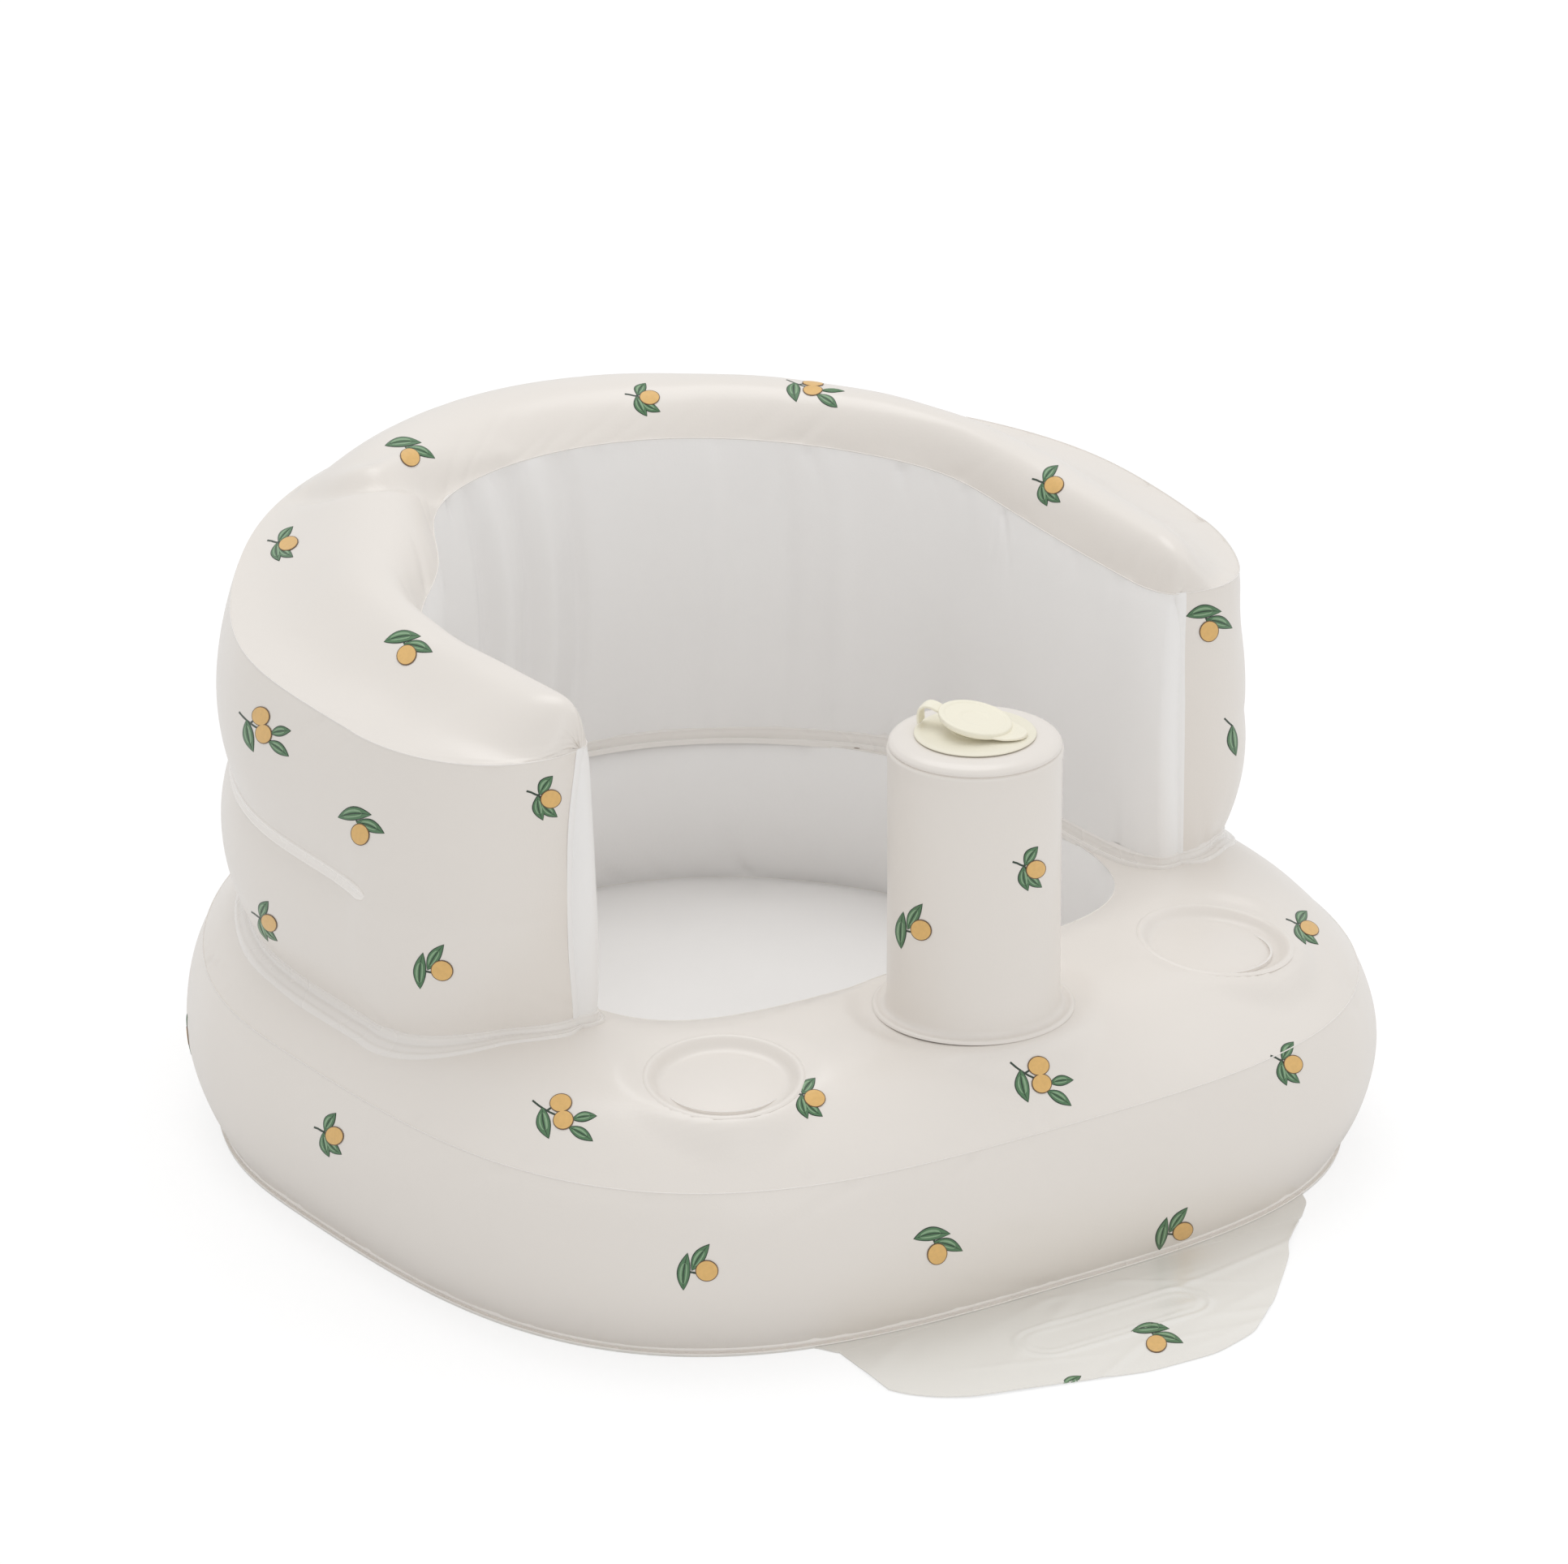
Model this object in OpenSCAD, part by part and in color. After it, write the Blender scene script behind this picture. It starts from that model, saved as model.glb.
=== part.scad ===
// Inflatable floor seat for a baby: a welded film base with a C-shaped backrest,
// an air pump in the post between the legs, and a flap of film on the floor in front.
// Millimetres. Origin on the floor under the middle of the base, -Y is the front.

/* [Film] */
// Thickness of the welded film
film = 1; // [0.8:0.1:1.4]
// Gap between pieces that lie against each other
seat_gap = 0.3; // [0.2:0.05:0.5]
// Thickness of a welded strip
weld_t = 0.5; // [0.4:0.1:0.8]

/* [Base] */
// Half of the base's width at its bottom weld
base_half_w = 238; // [230:1:260]
// Middle of the base to the bottom weld in front
base_front = 252; // [246:1:280]
// Middle of the base to the bottom weld at the back
base_back = 238; // [232:1:260]
// Squareness of the front half of the outline (2 is an ellipse)
front_square = 3.2; // [2.8:0.1:4]
// Squareness of the back half of the outline
back_square = 2; // [1.9:0.1:2.6]
// Height of the weld between the side band and the top panel
band_h = 83; // [70:1:95]
// How far that weld stands outside the bottom weld
band_lean = 8.4; // [4:0.2:12]
// How far the side band swells out of the straight line between its welds
band_full = 11.7; // [6:0.1:16]
// Height of the crown of the base
crown_h = 118; // [108:1:130]
// Distance from the top weld over which the top panel rises to its crown
crown_reach = 75; // [60:1:90]
// Width of the welded rim round the foot of the base
rim_w = 3; // [2:0.5:6]

/* [Seat well] */
// Half of the well's width
well_half_w = 147; // [138:1:149]
// Middle of the base to the well's front edge
well_front = 138; // [125:1:141]
// Middle of the base to the well's back edge
well_back = 158; // [145:1:161]
// Squareness of the well's front half
well_square = 4.5; // [3:0.1:6]
// How far the top panel rolls down at the well's edge
well_edge_drop = 5; // [2:0.5:10]
// Distance from the well's edge over which it rolls down
well_roll = 24; // [18:1:30]
// How far the well wall swells into the well
well_full = 7; // [3:0.5:12]
// Height of the weld between the well wall and the seat panel
seat_edge_h = 42; // [30:1:55]
// How far the seat panel is crowned above its weld
seat_crown = 16; // [8:1:22]

/* [Dimples] */
// Bottom weld at the side to the middle of a dimple
dimple_from_side = 104; // [98:1:112]
// Bottom weld in front to the middle of a dimple
dimple_from_front = 65; // [62:1:68]
// Radius of the hole that a dimple cup fills
dimple_r = 29; // [26:0.5:31]
// Width of the cup's lip on the top panel
dimple_lip_w = 4; // [3:0.5:5]
// Depth of the cup's groove below the top panel
dimple_depth = 6; // [5:0.5:9]
// Radius of the cup's groove
groove_r = 3; // [2.5:0.5:4]
// Height of the level patch round a dimple
dimple_patch_h = 114; // [110:0.5:116]
// Distance over which a level patch passes into the top panel
patch_slope = 12; // [8:1:16]
// Rise of the cup's middle above its groove
dimple_middle_rise = 3.5; // [2:0.5:4.5]

/* [Backrest] */
// How far the backrest's outer top weld lies inside the base's outline
back_inset = 4; // [2:0.5:8]
// Thickness of the backrest at the arms
arm_w = 78; // [72:1:80]
// Thickness of the backrest at its middle
back_w = 70; // [66:1:71]
// Middle of the base to the front ends of the arms
arm_front = 115; // [105:1:122]
// Length of the rounded nose of an arm
nose_len = 75; // [60:1:85]
// Half of the nose's width
nose_half_w = 55; // [50:1:60]
// Length of the rounded corner beside the front weld, on the seat side
inner_nose_len = 23; // [16:1:30]
// Height of the top weld on the arms
arm_h = 251; // [235:1:265]
// How much higher the outer top weld is at the back
back_rise_out = 10; // [0:1:25]
// How much higher the inner top weld is at the back
back_rise_in = 14; // [0:1:30]
// How far the top panel domes above its welds at the back
top_full = 21; // [14:1:28]
// How far it domes above its welds on the arms
arm_top_full = 23; // [14:1:28]
// How far the crown of the arms leans to the seat side (0 is the middle)
top_lean = 2; // [0:0.5:2]
// Height of the crease that the inner tie band pulls into the outer panel
crease_h = 175; // [165:1:185]
// How far the crease lies inside the top weld
crease_in = 2; // [0:0.5:6]
// How far the outer panel swells between its welds and the crease
outer_full = 7; // [4:0.5:10]
// How far the foot of the outer panel lies inside the top weld
foot_in = 10; // [5:0.5:12]
// How far the inner panel swells into the seat
inner_full = 7; // [2:0.5:8]
// How far the foot of the inner panel stands into the seat
inner_foot_out = 6; // [2:0.5:6.5]
// Width of the weld strip round the backrest's foot, outside
foot_strip_w = 6; // [4:0.5:8]
// Width of the weld strip round the backrest's foot, inside
foot_strip_in_w = 3; // [2:0.5:4]
// Width of the weld strip in the crease
crease_strip_w = 7; // [5:0.5:9]
// Radius of the air holes in the tie band
tie_hole_r = 7; // [4:0.5:9]

// Radius of the holes through which air reaches the backrest
passage_r = 6; // [4:0.5:9]

/* [Pump post] */
// Bottom weld in front to the post's axis
post_from_front = 64.5; // [62:0.5:68]
// Outer radius of the post
post_r = 39; // [34:0.5:42]
// Height of the level patch on which the post stands
post_foot_h = 115; // [112:0.5:116]
// Height of the weld between the post's tube and its top
post_weld_h = 241.6; // [220:0.2:260]
// Width of the weld strip round the post's foot
post_strip_w = 6; // [4:0.5:7]
// Rise of the post's top above its weld
post_top_rise = 5; // [3:0.5:7]
// Radius of the shoulder of the post's top
post_shoulder = 9; // [6:0.5:12]
// Radius of the foam core that lifts the post again
foam_r = 31; // [26:0.5:32]
// Radius of the hole down the foam core
foam_bore_r = 12; // [10.5:0.5:14]

/* [Pump inlet valve] */
// Direction from the strap to the finger tab, in degrees from +X
inlet_turn = -54; // [-90:1:0]
// Radius of the inlet's soft flange
inlet_flange_r = 27.5; // [24:0.5:29]
// Thickness of a valve's flange
flange_t = 1.5; // [1.2:0.1:2]
// Radius of the inlet's opening
inlet_bore_r = 7.6; // [6:0.1:8.5]
// Wall of a valve's neck
neck_wall = 1.6; // [1.2:0.1:2.2]
// Length of a valve's neck below its flange
neck_len = 9; // [7:0.5:12]
// Radius of the inlet's cap
inlet_cap_r = 16.5; // [14:0.5:18]
// Height of the inlet's cap above the flange
inlet_cap_lift = 3.4; // [2.6:0.1:4.5]
// Reach of the finger tab from the cap's middle
inlet_tab = 24; // [21:0.5:26]

/* [Air release valve] */
// Radius of the release valve's flange
release_flange_r = 15; // [13:0.5:18]
// Radius of the release valve's opening
release_bore_r = 5; // [4:0.1:6]
// Radius of the release valve's cap
release_cap_r = 9; // [8:0.5:10]
// Height of the release valve's cap above its flange
release_cap_lift = 1.6; // [1.2:0.1:2.5]
// Reach of the release valve's finger tab
release_tab = 13; // [11.5:0.5:14]

/* [Valve caps] */
// Thickness of a valve's cap
cap_t = 2.4; // [2:0.1:3]
// Gap between a plug and its opening
plug_gap = 0.6; // [0.5:0.05:1]
// Thickness of a cap's strap
strap_t = 1.6; // [1.2:0.1:2]
// Width of a cap's strap
strap_w = 8; // [5:0.5:10]

/* [Check valve] */
// Radius of the check valve's flange under the foam core
check_flange_r = 16; // [14:0.5:20]
// Radius of the check valve's opening
check_bore_r = 6; // [4:0.5:8]
// Wall of the check valve's neck
check_wall = 1.4; // [1:0.1:2]
// Length of the check valve's neck
check_len = 6; // [4:0.5:9]

/* [Front flap] */
// Middle of the base to the flap's left side
flap_left_w = 118; // [100:1:124]
// Middle of the base to the flap's right side, at its fold
flap_right_w = 130; // [110:1:134]
// Length of the flap from its fold
flap_len = 86; // [70:1:100]
// Width that the round left corner takes away
flap_left_cut = 62; // [40:1:70]
// Width that the slanting right side takes away
flap_right_cut = 98; // [60:1:104]
// Width of film that holds the flap to the foot of the base
flap_root = 14; // [12:1:20]
// Half of the length of the oval weld on the flap
oval_half_l = 50; // [40:1:60]
// Half of the width of the oval weld
oval_half_w = 14; // [10:1:18]
// Width of the oval weld's bead
oval_bead = 4; // [3:0.5:6]

/* [Hidden] */

ivory = "#EAE6DD";
plain_ivory = "#E6E3DC";
weld_white = "#F4F3EF";
cream = "#F3EFDC";
foam_grey = "#C9C7C2";

band_rows = 6;
top_rows = 12;
well_rows = 3;
seat_rows = 4;
nose_cols = 8;
wall_cols = 15;
lower_rows = 4;
upper_rows = 4;
inner_rows = 5;
dome_rows = 8;

// ---- Small helpers ----
function mix(a, b, k) = a + (b - a) * k;
function clamp01(k) = max(0, min(1, k));
function smooth(k) = let (c = clamp01(k)) c * c * (3 - 2 * c);
function flat(lists) = [for (l = lists) each l];
function lift(p, z) = [p.x, p.y, z];
function angles(a, b, steps) = [for (k = [0 : steps - 1]) mix(a, b, k / steps)];

// ---- Plan outlines, in polar form round the middle of the base ----
function back_share(phi) = 1 / (1 + exp(-6 * sin(phi)));
function plan_r(phi, half_w, front, back, sq_front, sq_back) =
    let (k = back_share(phi), n = mix(sq_front, sq_back, k), b = mix(front, back, k))
    pow(pow(abs(cos(phi)) / half_w, n) + pow(abs(sin(phi)) / b, n), -1 / n);
function on_plan(phi, r) = [r * cos(phi), r * sin(phi)];
function base_r(phi, out) =
    plan_r(phi, base_half_w + out, base_front + out, base_back + out, front_square, back_square);
function well_r(phi, out) =
    plan_r(phi, well_half_w + out, well_front + out, well_back + out, well_square, back_square);

// Columns of the base's panels: close together at the dimples, wider at the back
half_columns = concat(angles(-90, -66, 8), angles(-66, -42, 12), angles(-42, 0, 7), angles(0, 90, 14));
columns = concat(half_columns, [90], [for (k = [len(half_columns) - 1 : -1 : 1]) 180 - half_columns[k]]);

// ---- Height of the base's top panel ----
function crown_z(phi, r) =
    let (from_weld = base_r(phi, band_lean) - r, u = clamp01(1 - from_weld / crown_reach),
         from_well = clamp01(1 - (r - well_r(phi, 0)) / well_roll))
    mix(band_h, crown_h, 1 - pow(u, 2.6)) - well_edge_drop * from_well * from_well;
post_at = [0, post_from_front - base_front];
dimple_x = base_half_w - dimple_from_side;
dimple_y = base_front - dimple_from_front;
dimples = [[-dimple_x, -dimple_y], [dimple_x, -dimple_y]];
function plan_crown_z(p) = crown_z(atan2(p.y, p.x), norm(p));
// A level patch of height pad_z round the point at
function pad(z, p, at, r_in, r_out, pad_z) = mix(pad_z, z, smooth((norm(p - at) - r_in) / (r_out - r_in)));
post_patch_r = post_r + post_strip_w + 4;
dimple_patch_r = dimple_r + dimple_lip_w + 3;
function top_z(p) =
    let (z0 = plan_crown_z(p),
         z1 = pad(z0, p, dimples[0], dimple_patch_r, dimple_patch_r + patch_slope, dimple_patch_h),
         z2 = pad(z1, p, dimples[1], dimple_patch_r, dimple_patch_r + patch_slope, dimple_patch_h))
    pad(z2, p, post_at, post_patch_r, post_patch_r + patch_slope, post_foot_h);

// ---- Sheets of film between two grids of points ----
// Triangles between two lines of point numbers; a line may be a single point
function stitch(a, b) =
    len(a) == 1 ? [for (k = [0 : len(b) - 2]) [a[0], b[k + 1], b[k]]] :
    len(b) == 1 ? [for (k = [0 : len(a) - 2]) [a[k], a[k + 1], b[0]]] :
    [for (k = [0 : len(a) - 2]) each [[a[k], a[k + 1], b[k + 1]], [a[k], b[k + 1], b[k]]]];
function rim(loop, shift) = [for (k = [0 : len(loop) - 2])
    each [[loop[k + 1], loop[k], loop[k] + shift], [loop[k + 1], loop[k] + shift, loop[k + 1] + shift]]];
function reversed(l) = [for (k = [len(l) - 1 : -1 : 0]) l[k]];
function numbers(lines, from = 0, k = 0) =
    k == len(lines) ? [] :
    concat([[for (i = [0 : len(lines[k]) - 1]) from + i]], numbers(lines, from + len(lines[k]), k + 1));
function closed(l) = concat(l, [l[0]]);

// Film between the lines of points outer and inner. With ring set, each line is a closed
// ring; with cap set, the first ring is filled.
module sheet(outer, inner, ring = false, cap = false) {
    shift = len(flat(outer));
    ids = numbers(outer);
    last = len(ids) - 1;
    rows = ring ? [for (l = ids) closed(l)] : ids;
    skin = concat([for (k = [0 : last - 1]) each stitch(rows[k], rows[k + 1])],
                  cap ? [reversed(ids[0])] : []);
    ends = ring ? concat(cap ? [] : rim(rows[0], shift), rim(reversed(rows[last]), shift)) :
        rim(closed(concat(rows[0], [for (k = [1 : last - 1]) rows[k][len(rows[k]) - 1]],
            reversed(rows[last]), [for (k = [last - 1 : -1 : 1]) rows[k][0]])), shift);
    back = [for (f = skin) [for (i = reversed(f)) i + shift]];
    polyhedron(points = concat(flat(outer), flat(inner)), faces = concat(skin, back, ends));
}
// Outward direction in plan at point k of a closed ring that runs anticlockwise
function plan_normal(l, k) =
    let (n = len(l), d = l[(k + 1) % n] - l[(k + n - 1) % n], s = norm([d.x, d.y])) [d.y / s, -d.x / s, 0];
function pushed(l, d) = [for (k = [0 : len(l) - 1]) l[k] + d * plan_normal(l, k)];
function lowered(l, d) = [for (p = l) p - [0, 0, d]];

// ---- Base ----
function base_ring(out, z) = [for (phi = columns) lift(on_plan(phi, base_r(phi, out)), z)];
function band_ring(v) = base_ring(band_lean * v + 4 * band_full * v * (1 - v), mix(film, band_h, v));
function flat_points(l) = [for (p = l) [p.x, p.y]];

// The sheet runs on to the fold of the flap in front
module base_bottom_sheet() {
    color(ivory) linear_extrude(film) {
        polygon(flat_points(base_ring(rim_w, 0)));
        translate([-flap_left_w, -base_front - rim_w]) square([flap_left_w + flap_right_w, flap_root]);
    }
}

// How far the side band stands outside its bottom weld at the rim weld's upper face
first_row = 1 / band_rows;
band_at_rim = (band_lean * first_row + 4 * band_full * first_row * (1 - first_row)) * film
    / ((band_h - film) * first_row);
module base_rim_weld() {
    color(weld_white) translate([0, 0, film]) linear_extrude(film) difference() {
        polygon(flat_points(base_ring(rim_w, 0)));
        polygon(flat_points(base_ring(band_at_rim + seat_gap, 0)));
    }
}

module base_side_band() {
    rings = [for (k = [band_rows : -1 : 0]) band_ring(k / band_rows)];
    color(ivory) sheet(rings, [for (l = rings) pushed(l, -film)], ring = true);
}

function top_ring(q) = [for (phi = columns)
    let (p = on_plan(phi, mix(well_r(phi, 0), base_r(phi, band_lean), q))) lift(p, top_z(p))];

module base_top_panel() {
    rings = [for (k = [0 : top_rows]) top_ring(k / top_rows)];
    inner = [for (k = [0 : top_rows])
        k == 0 ? pushed(rings[k], film) : k == top_rows ? pushed(rings[k], -film) : lowered(rings[k], film)];
    color(ivory) difference() {
        sheet(rings, inner, ring = true);
        for (p = dimples) top_hole(p, dimple_r, dimple_patch_h);
        top_hole(post_at, check_neck_r + seat_gap, post_foot_h);
        for (p = air_passages) top_hole(p, passage_r, top_z(p));
    }
}
module top_hole(at, r, z) translate([at.x, at.y, z - 4]) cylinder(r = r, h = 8, $fn = 64);

// ---- Dimple cups: a lip on the panel, a groove where the tie pulls, a raised middle ----
module dimple_cup(at) {
    wall_r = dimple_r - seat_gap;
    color(ivory) translate([at.x, at.y, dimple_patch_h + seat_gap]) rotate_extrude($fn = 96) polygon([
        [wall_r - film, film], [wall_r + dimple_lip_w, film], [wall_r + dimple_lip_w, 0], [wall_r, 0],
        [wall_r, -dimple_depth + groove_r], [wall_r - 1, -dimple_depth + 1],
        [wall_r - groove_r, -dimple_depth],
        [wall_r - 2 * groove_r, -dimple_depth + 1],
        [wall_r * 0.4, -dimple_depth + dimple_middle_rise - film - 0.4],
        [0, -dimple_depth + dimple_middle_rise - film],
        [0, -dimple_depth + dimple_middle_rise], [wall_r * 0.4, -dimple_depth + dimple_middle_rise - 0.4],
        [wall_r - 2 * groove_r, -dimple_depth + 1 + film], [wall_r - groove_r, -dimple_depth + film],
        [wall_r - 1 - film, -dimple_depth + 1 + film], [wall_r - film, -dimple_depth + groove_r]
    ]);
}

module dimple_cup_left() dimple_cup(dimples[0]);
module dimple_cup_right() dimple_cup(dimples[1]);

// ---- Seat well ----
function well_ring(v) = [for (phi = columns)
    let (edge = on_plan(phi, well_r(phi, 0)),
         p = on_plan(phi, well_r(phi, -4 * well_full * v * (1 - v))))
    lift(p, mix(top_z(edge), seat_edge_h, v))];

module seat_well_wall() {
    rings = [for (k = [well_rows : -1 : 0]) well_ring(k / well_rows)];
    color(plain_ivory) sheet(rings, [for (l = rings) pushed(l, film)], ring = true);
}

seat_middle = 0.3;
function seat_ring(q) = [for (phi = columns)
    lift(on_plan(phi, q * well_r(phi, 0)), seat_edge_h + seat_crown * (1 - pow(q, 2.4)))];

module seat_panel() {
    rings = [for (k = [0 : seat_rows]) seat_ring(mix(seat_middle, 1, k / seat_rows))];
    inner = [for (k = [0 : seat_rows]) k == seat_rows ? pushed(rings[k], film) : lowered(rings[k], film)];
    color(plain_ivory) sheet(rings, inner, ring = true, cap = true);
}

// ---- Dimple ties ----
module dimple_tie(at) {
    tie_r = dimple_r - seat_gap - groove_r + film / 2;
    h = dimple_patch_h - dimple_depth - film;
    color(weld_white) translate([at.x, at.y, film]) difference() {
        cylinder(r = tie_r, h = h, $fn = 64);
        translate([0, 0, -1]) cylinder(r = tie_r - film, h = h + 2, $fn = 64);
    }
}

module dimple_tie_left() dimple_tie(dimples[0]);
module dimple_tie_right() dimple_tie(dimples[1]);

// ---- Backrest ----
back_half_w = base_half_w - back_inset;
nose_y = -(arm_front - nose_len);
nose_x = back_half_w - nose_half_w;
// The front weld stands where the nose's outer curve is this far past its tip
front_weld_turn = 13;
front_weld = [nose_x - nose_half_w * sin(front_weld_turn), nose_y - nose_len * cos(front_weld_turn)];
inner_half_w = back_half_w - arm_w;
inner_back = base_back - back_inset - back_w;
inner_nose = [front_weld.x - inner_half_w, inner_nose_len];
inner_square = 8;
inner_front = arm_front + nose_len;
inner_wall_y = front_weld.y + inner_nose.y;

// Right half of the outer and of the inner wall, from the front weld to the middle of the back
outer_half = concat(
    [for (k = [0 : nose_cols - 1])
        let (a = mix(-90 - front_weld_turn, 0, k / nose_cols))
        [nose_x + nose_half_w * cos(a), nose_y + nose_len * sin(a)]],
    [for (k = [0 : wall_cols])
        let (phi = mix(atan2(nose_y, back_half_w), 90, k / wall_cols))
        on_plan(phi, base_r(phi, -back_inset))]);
inner_half = concat(
    [for (k = [0 : nose_cols - 1])
        let (a = mix(-90, -180, k / nose_cols))
        [front_weld.x + inner_nose.x * cos(a), inner_wall_y + inner_nose.y * sin(a)]],
    [for (k = [0 : wall_cols])
        let (phi = mix(atan2(inner_wall_y, inner_half_w), 90, k / wall_cols))
        on_plan(phi, plan_r(phi, inner_half_w, inner_front, inner_back, inner_square, back_square))]);
half_cols = nose_cols + wall_cols;
cols = 2 * half_cols;
function mirrored(half) = concat(half, [for (k = [half_cols - 1 : -1 : 0]) [-half[k].x, half[k].y]]);
outer_wall = mirrored(outer_half);
inner_wall = mirrored(inner_half);
// Holes through which air reaches the backrest, under the middle of its wall
passage_cols = [nose_cols + 4, half_cols, cols - nose_cols - 4];
air_passages = [for (k = passage_cols) (outer_wall[k] + inner_wall[k]) / 2];
// The closed outline of the backrest, anticlockwise, and its outward directions
outline = [for (p = concat(outer_wall, [for (k = [cols - 1 : -1 : 1]) inner_wall[k]])) lift(p, 0)];
outward = [for (k = [0 : len(outline) - 1]) plan_normal(outline, k)];

// How far along the arm a column is: 0 at the front weld, 1 from the end of the nose on
function col_of(k) = k <= cols ? k : 2 * cols - k;
function from_end(k) = let (c = col_of(k)) min(c, cols - c);
function past_nose(k) = smooth(from_end(k) / nose_cols);
function past_weld(k) = smooth(from_end(k) / 3);
function in_crease(k) = smooth((from_end(k) - nose_cols + 1) / 2);
function rise(k) = smooth((from_end(k) - nose_cols) / wall_cols);
function weld_z(k) = arm_h + rise(k) * (k <= cols ? back_rise_out : back_rise_in);
function moved(k, out, z) = lift(outline[k % len(outline)] + out * outward[k % len(outline)], z);

foot_lift = 0.7;
function foot_out(k) = (k <= cols ? -foot_in : inner_foot_out) * past_weld(k);
function foot_z(k, out) = let (p = moved(k, out, 0)) top_z([p.x, p.y]) + foot_lift;

function swell(v) = 4 * v * (1 - v);
function crease_out(k) = mix(foot_out(k) / 2 + outer_full, -crease_in, in_crease(k));
function lower_point(k, v) =
    let (full = outer_full * past_nose(k) * mix(0.5, 1, in_crease(k)))
    moved(k, mix(foot_out(k), past_nose(k) * crease_out(k), 1 - (1 - v) * (1 - v)) + full * swell(v),
          mix(foot_z(k, foot_out(k)), crease_h, v));
function upper_point(k, v) =
    let (full = outer_full * past_nose(k) * mix(0.3, 1, in_crease(k)))
    moved(k, mix(past_nose(k) * crease_out(k), 0, v) + full * swell(v), mix(crease_h, weld_z(k), v));
function inner_point(k, v) =
    moved(k, mix(foot_out(k), 0, v) + inner_full * swell(v) * past_weld(k),
          mix(foot_z(k, foot_out(k)), weld_z(k), v));

function thick_line(line, from) =
    [for (k = [0 : len(line) - 1]) line[k] - film * outward[(from + k) % len(outline)]];

module backrest_outer_panel() {
    lines = concat(
        [for (j = [0 : lower_rows]) [for (k = [0 : cols]) lower_point(k, j / lower_rows)]],
        [for (j = [1 : upper_rows]) [for (k = [0 : cols]) upper_point(k, j / upper_rows)]]);
    color(ivory) difference() {
        sheet(reversed(lines), [for (l = reversed(lines)) thick_line(l, 0)]);
        release_place() translate([0, 0, -neck_len])
            cylinder(r = release_neck_r + seat_gap, h = 2 * neck_len, $fn = 48);
    }
}

module backrest_inner_panel() {
    lines = [for (j = [inner_rows : -1 : 0]) [for (k = [cols : 2 * cols]) inner_point(k, j / inner_rows)]];
    color(plain_ivory) sheet(lines, [for (l = lines) thick_line(l, cols)]);
}

// Line across the top panel at column k, from the outer to the inner weld; its points lie
// closer together towards the inner weld, where a leaning crown falls steeply
function cross_line(k) =
    let (a = moved(k, 0, weld_z(k)), b = moved(2 * cols - k, 0, weld_z(2 * cols - k)),
         full = mix(arm_top_full, top_full, rise(k)) * sqrt(min(1, norm(b - a) / arm_w)),
         lean = top_lean * past_weld(k) * (1 - rise(k)))
    [for (j = [0 : dome_rows])
        let (s = cross_share(j), crown = 1 - pow(abs(2 * pow(s, 1 + lean) - 1), 2.4))
        mix(a, b, s) + [0, 0, full * crown]];
function cross_share(j) = 1 - pow(1 - j / dome_rows, 1.5);
function cross_inner(k) =
    let (l = cross_line(k), d = l[dome_rows] - l[0], to_seat = [d.x, d.y, 0] / norm([d.x, d.y]))
    [for (j = [0 : dome_rows])
        j == 0 ? l[j] - film * outward[k] :
        j == dome_rows ? l[j] - film * outward[(2 * cols - k) % len(outline)] :
        l[j] - film * (pow(cross_share(j), 4) * to_seat + [0, 0, 1])];

module backrest_top_panel() {
    lines = concat([[moved(0, 0, weld_z(0))]], [for (k = [1 : cols - 1]) cross_line(k)],
                   [[moved(cols, 0, weld_z(cols))]]);
    inner = concat([[lines[0][0] - film * outward[0]]], [for (k = [1 : cols - 1]) cross_inner(k)],
                   [[lines[cols][0] - film * outward[cols]]]);
    color(ivory) sheet(lines, inner);
}

function strip_w(k) = k > 0 && k < cols ? foot_strip_w : foot_strip_in_w;
strip_lift = 0.2;
function strip_line(out_share) = [for (k = [0 : 2 * cols - 1])
    let (out = foot_out(k) + seat_gap + out_share * strip_w(k), p = moved(k, out, 0))
    lift(p, top_z([p.x, p.y]) + foot_lift + strip_lift)];

module backrest_foot_weld() {
    rings = [strip_line(0), strip_line(1)];
    color(weld_white) sheet(rings, [for (l = rings) lowered(l, weld_t)], ring = true);
}

tie_cols = [nose_cols : cols - nose_cols];
// The strip follows the V of the crease: this is how much its sides lean outwards per height
crease_slope = 0.34;
function crease_line(side, inside) = [for (k = tie_cols)
    moved(k, past_nose(k) * crease_out(k) + seat_gap + inside + abs(side) * crease_slope * crease_strip_w / 2,
          crease_h + side * crease_strip_w / 2)];

module backrest_crease_weld() {
    color(weld_white) sheet([for (side = [1, 0, -1]) crease_line(side, weld_t)],
                            [for (side = [1, 0, -1]) crease_line(side, 0)]);
}

tie_gap = film + seat_gap;
function tie_outer(k) = moved(k, past_nose(k) * crease_out(k) - tie_gap, 0);
crease_v = (crease_h - crown_h) / (arm_h - crown_h);
function tie_inner(k) = moved(k, inner_full * swell(crease_v) - tie_gap - inner_full * 0.2, 0);

module backrest_tie_band() {
    path = concat([for (k = tie_cols) tie_outer(k)],
                  reversed([for (k = tie_cols) tie_inner(2 * cols - k)]));
    color(weld_white) translate([0, 0, crease_h - film / 2]) linear_extrude(film) difference() {
        polygon(flat_points(path));
        for (k = [nose_cols + 2 : 3 : cols - nose_cols - 2]) {
            middle = (tie_outer(k) + tie_inner(2 * cols - k)) / 2;
            translate([middle.x, middle.y]) circle(r = tie_hole_r, $fn = 32);
        }
    }
}

// ---- Pump post ----
tube_z = post_foot_h + seat_gap + 0.1;
module at_post() translate([post_at.x, post_at.y, 0]) children();

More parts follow.
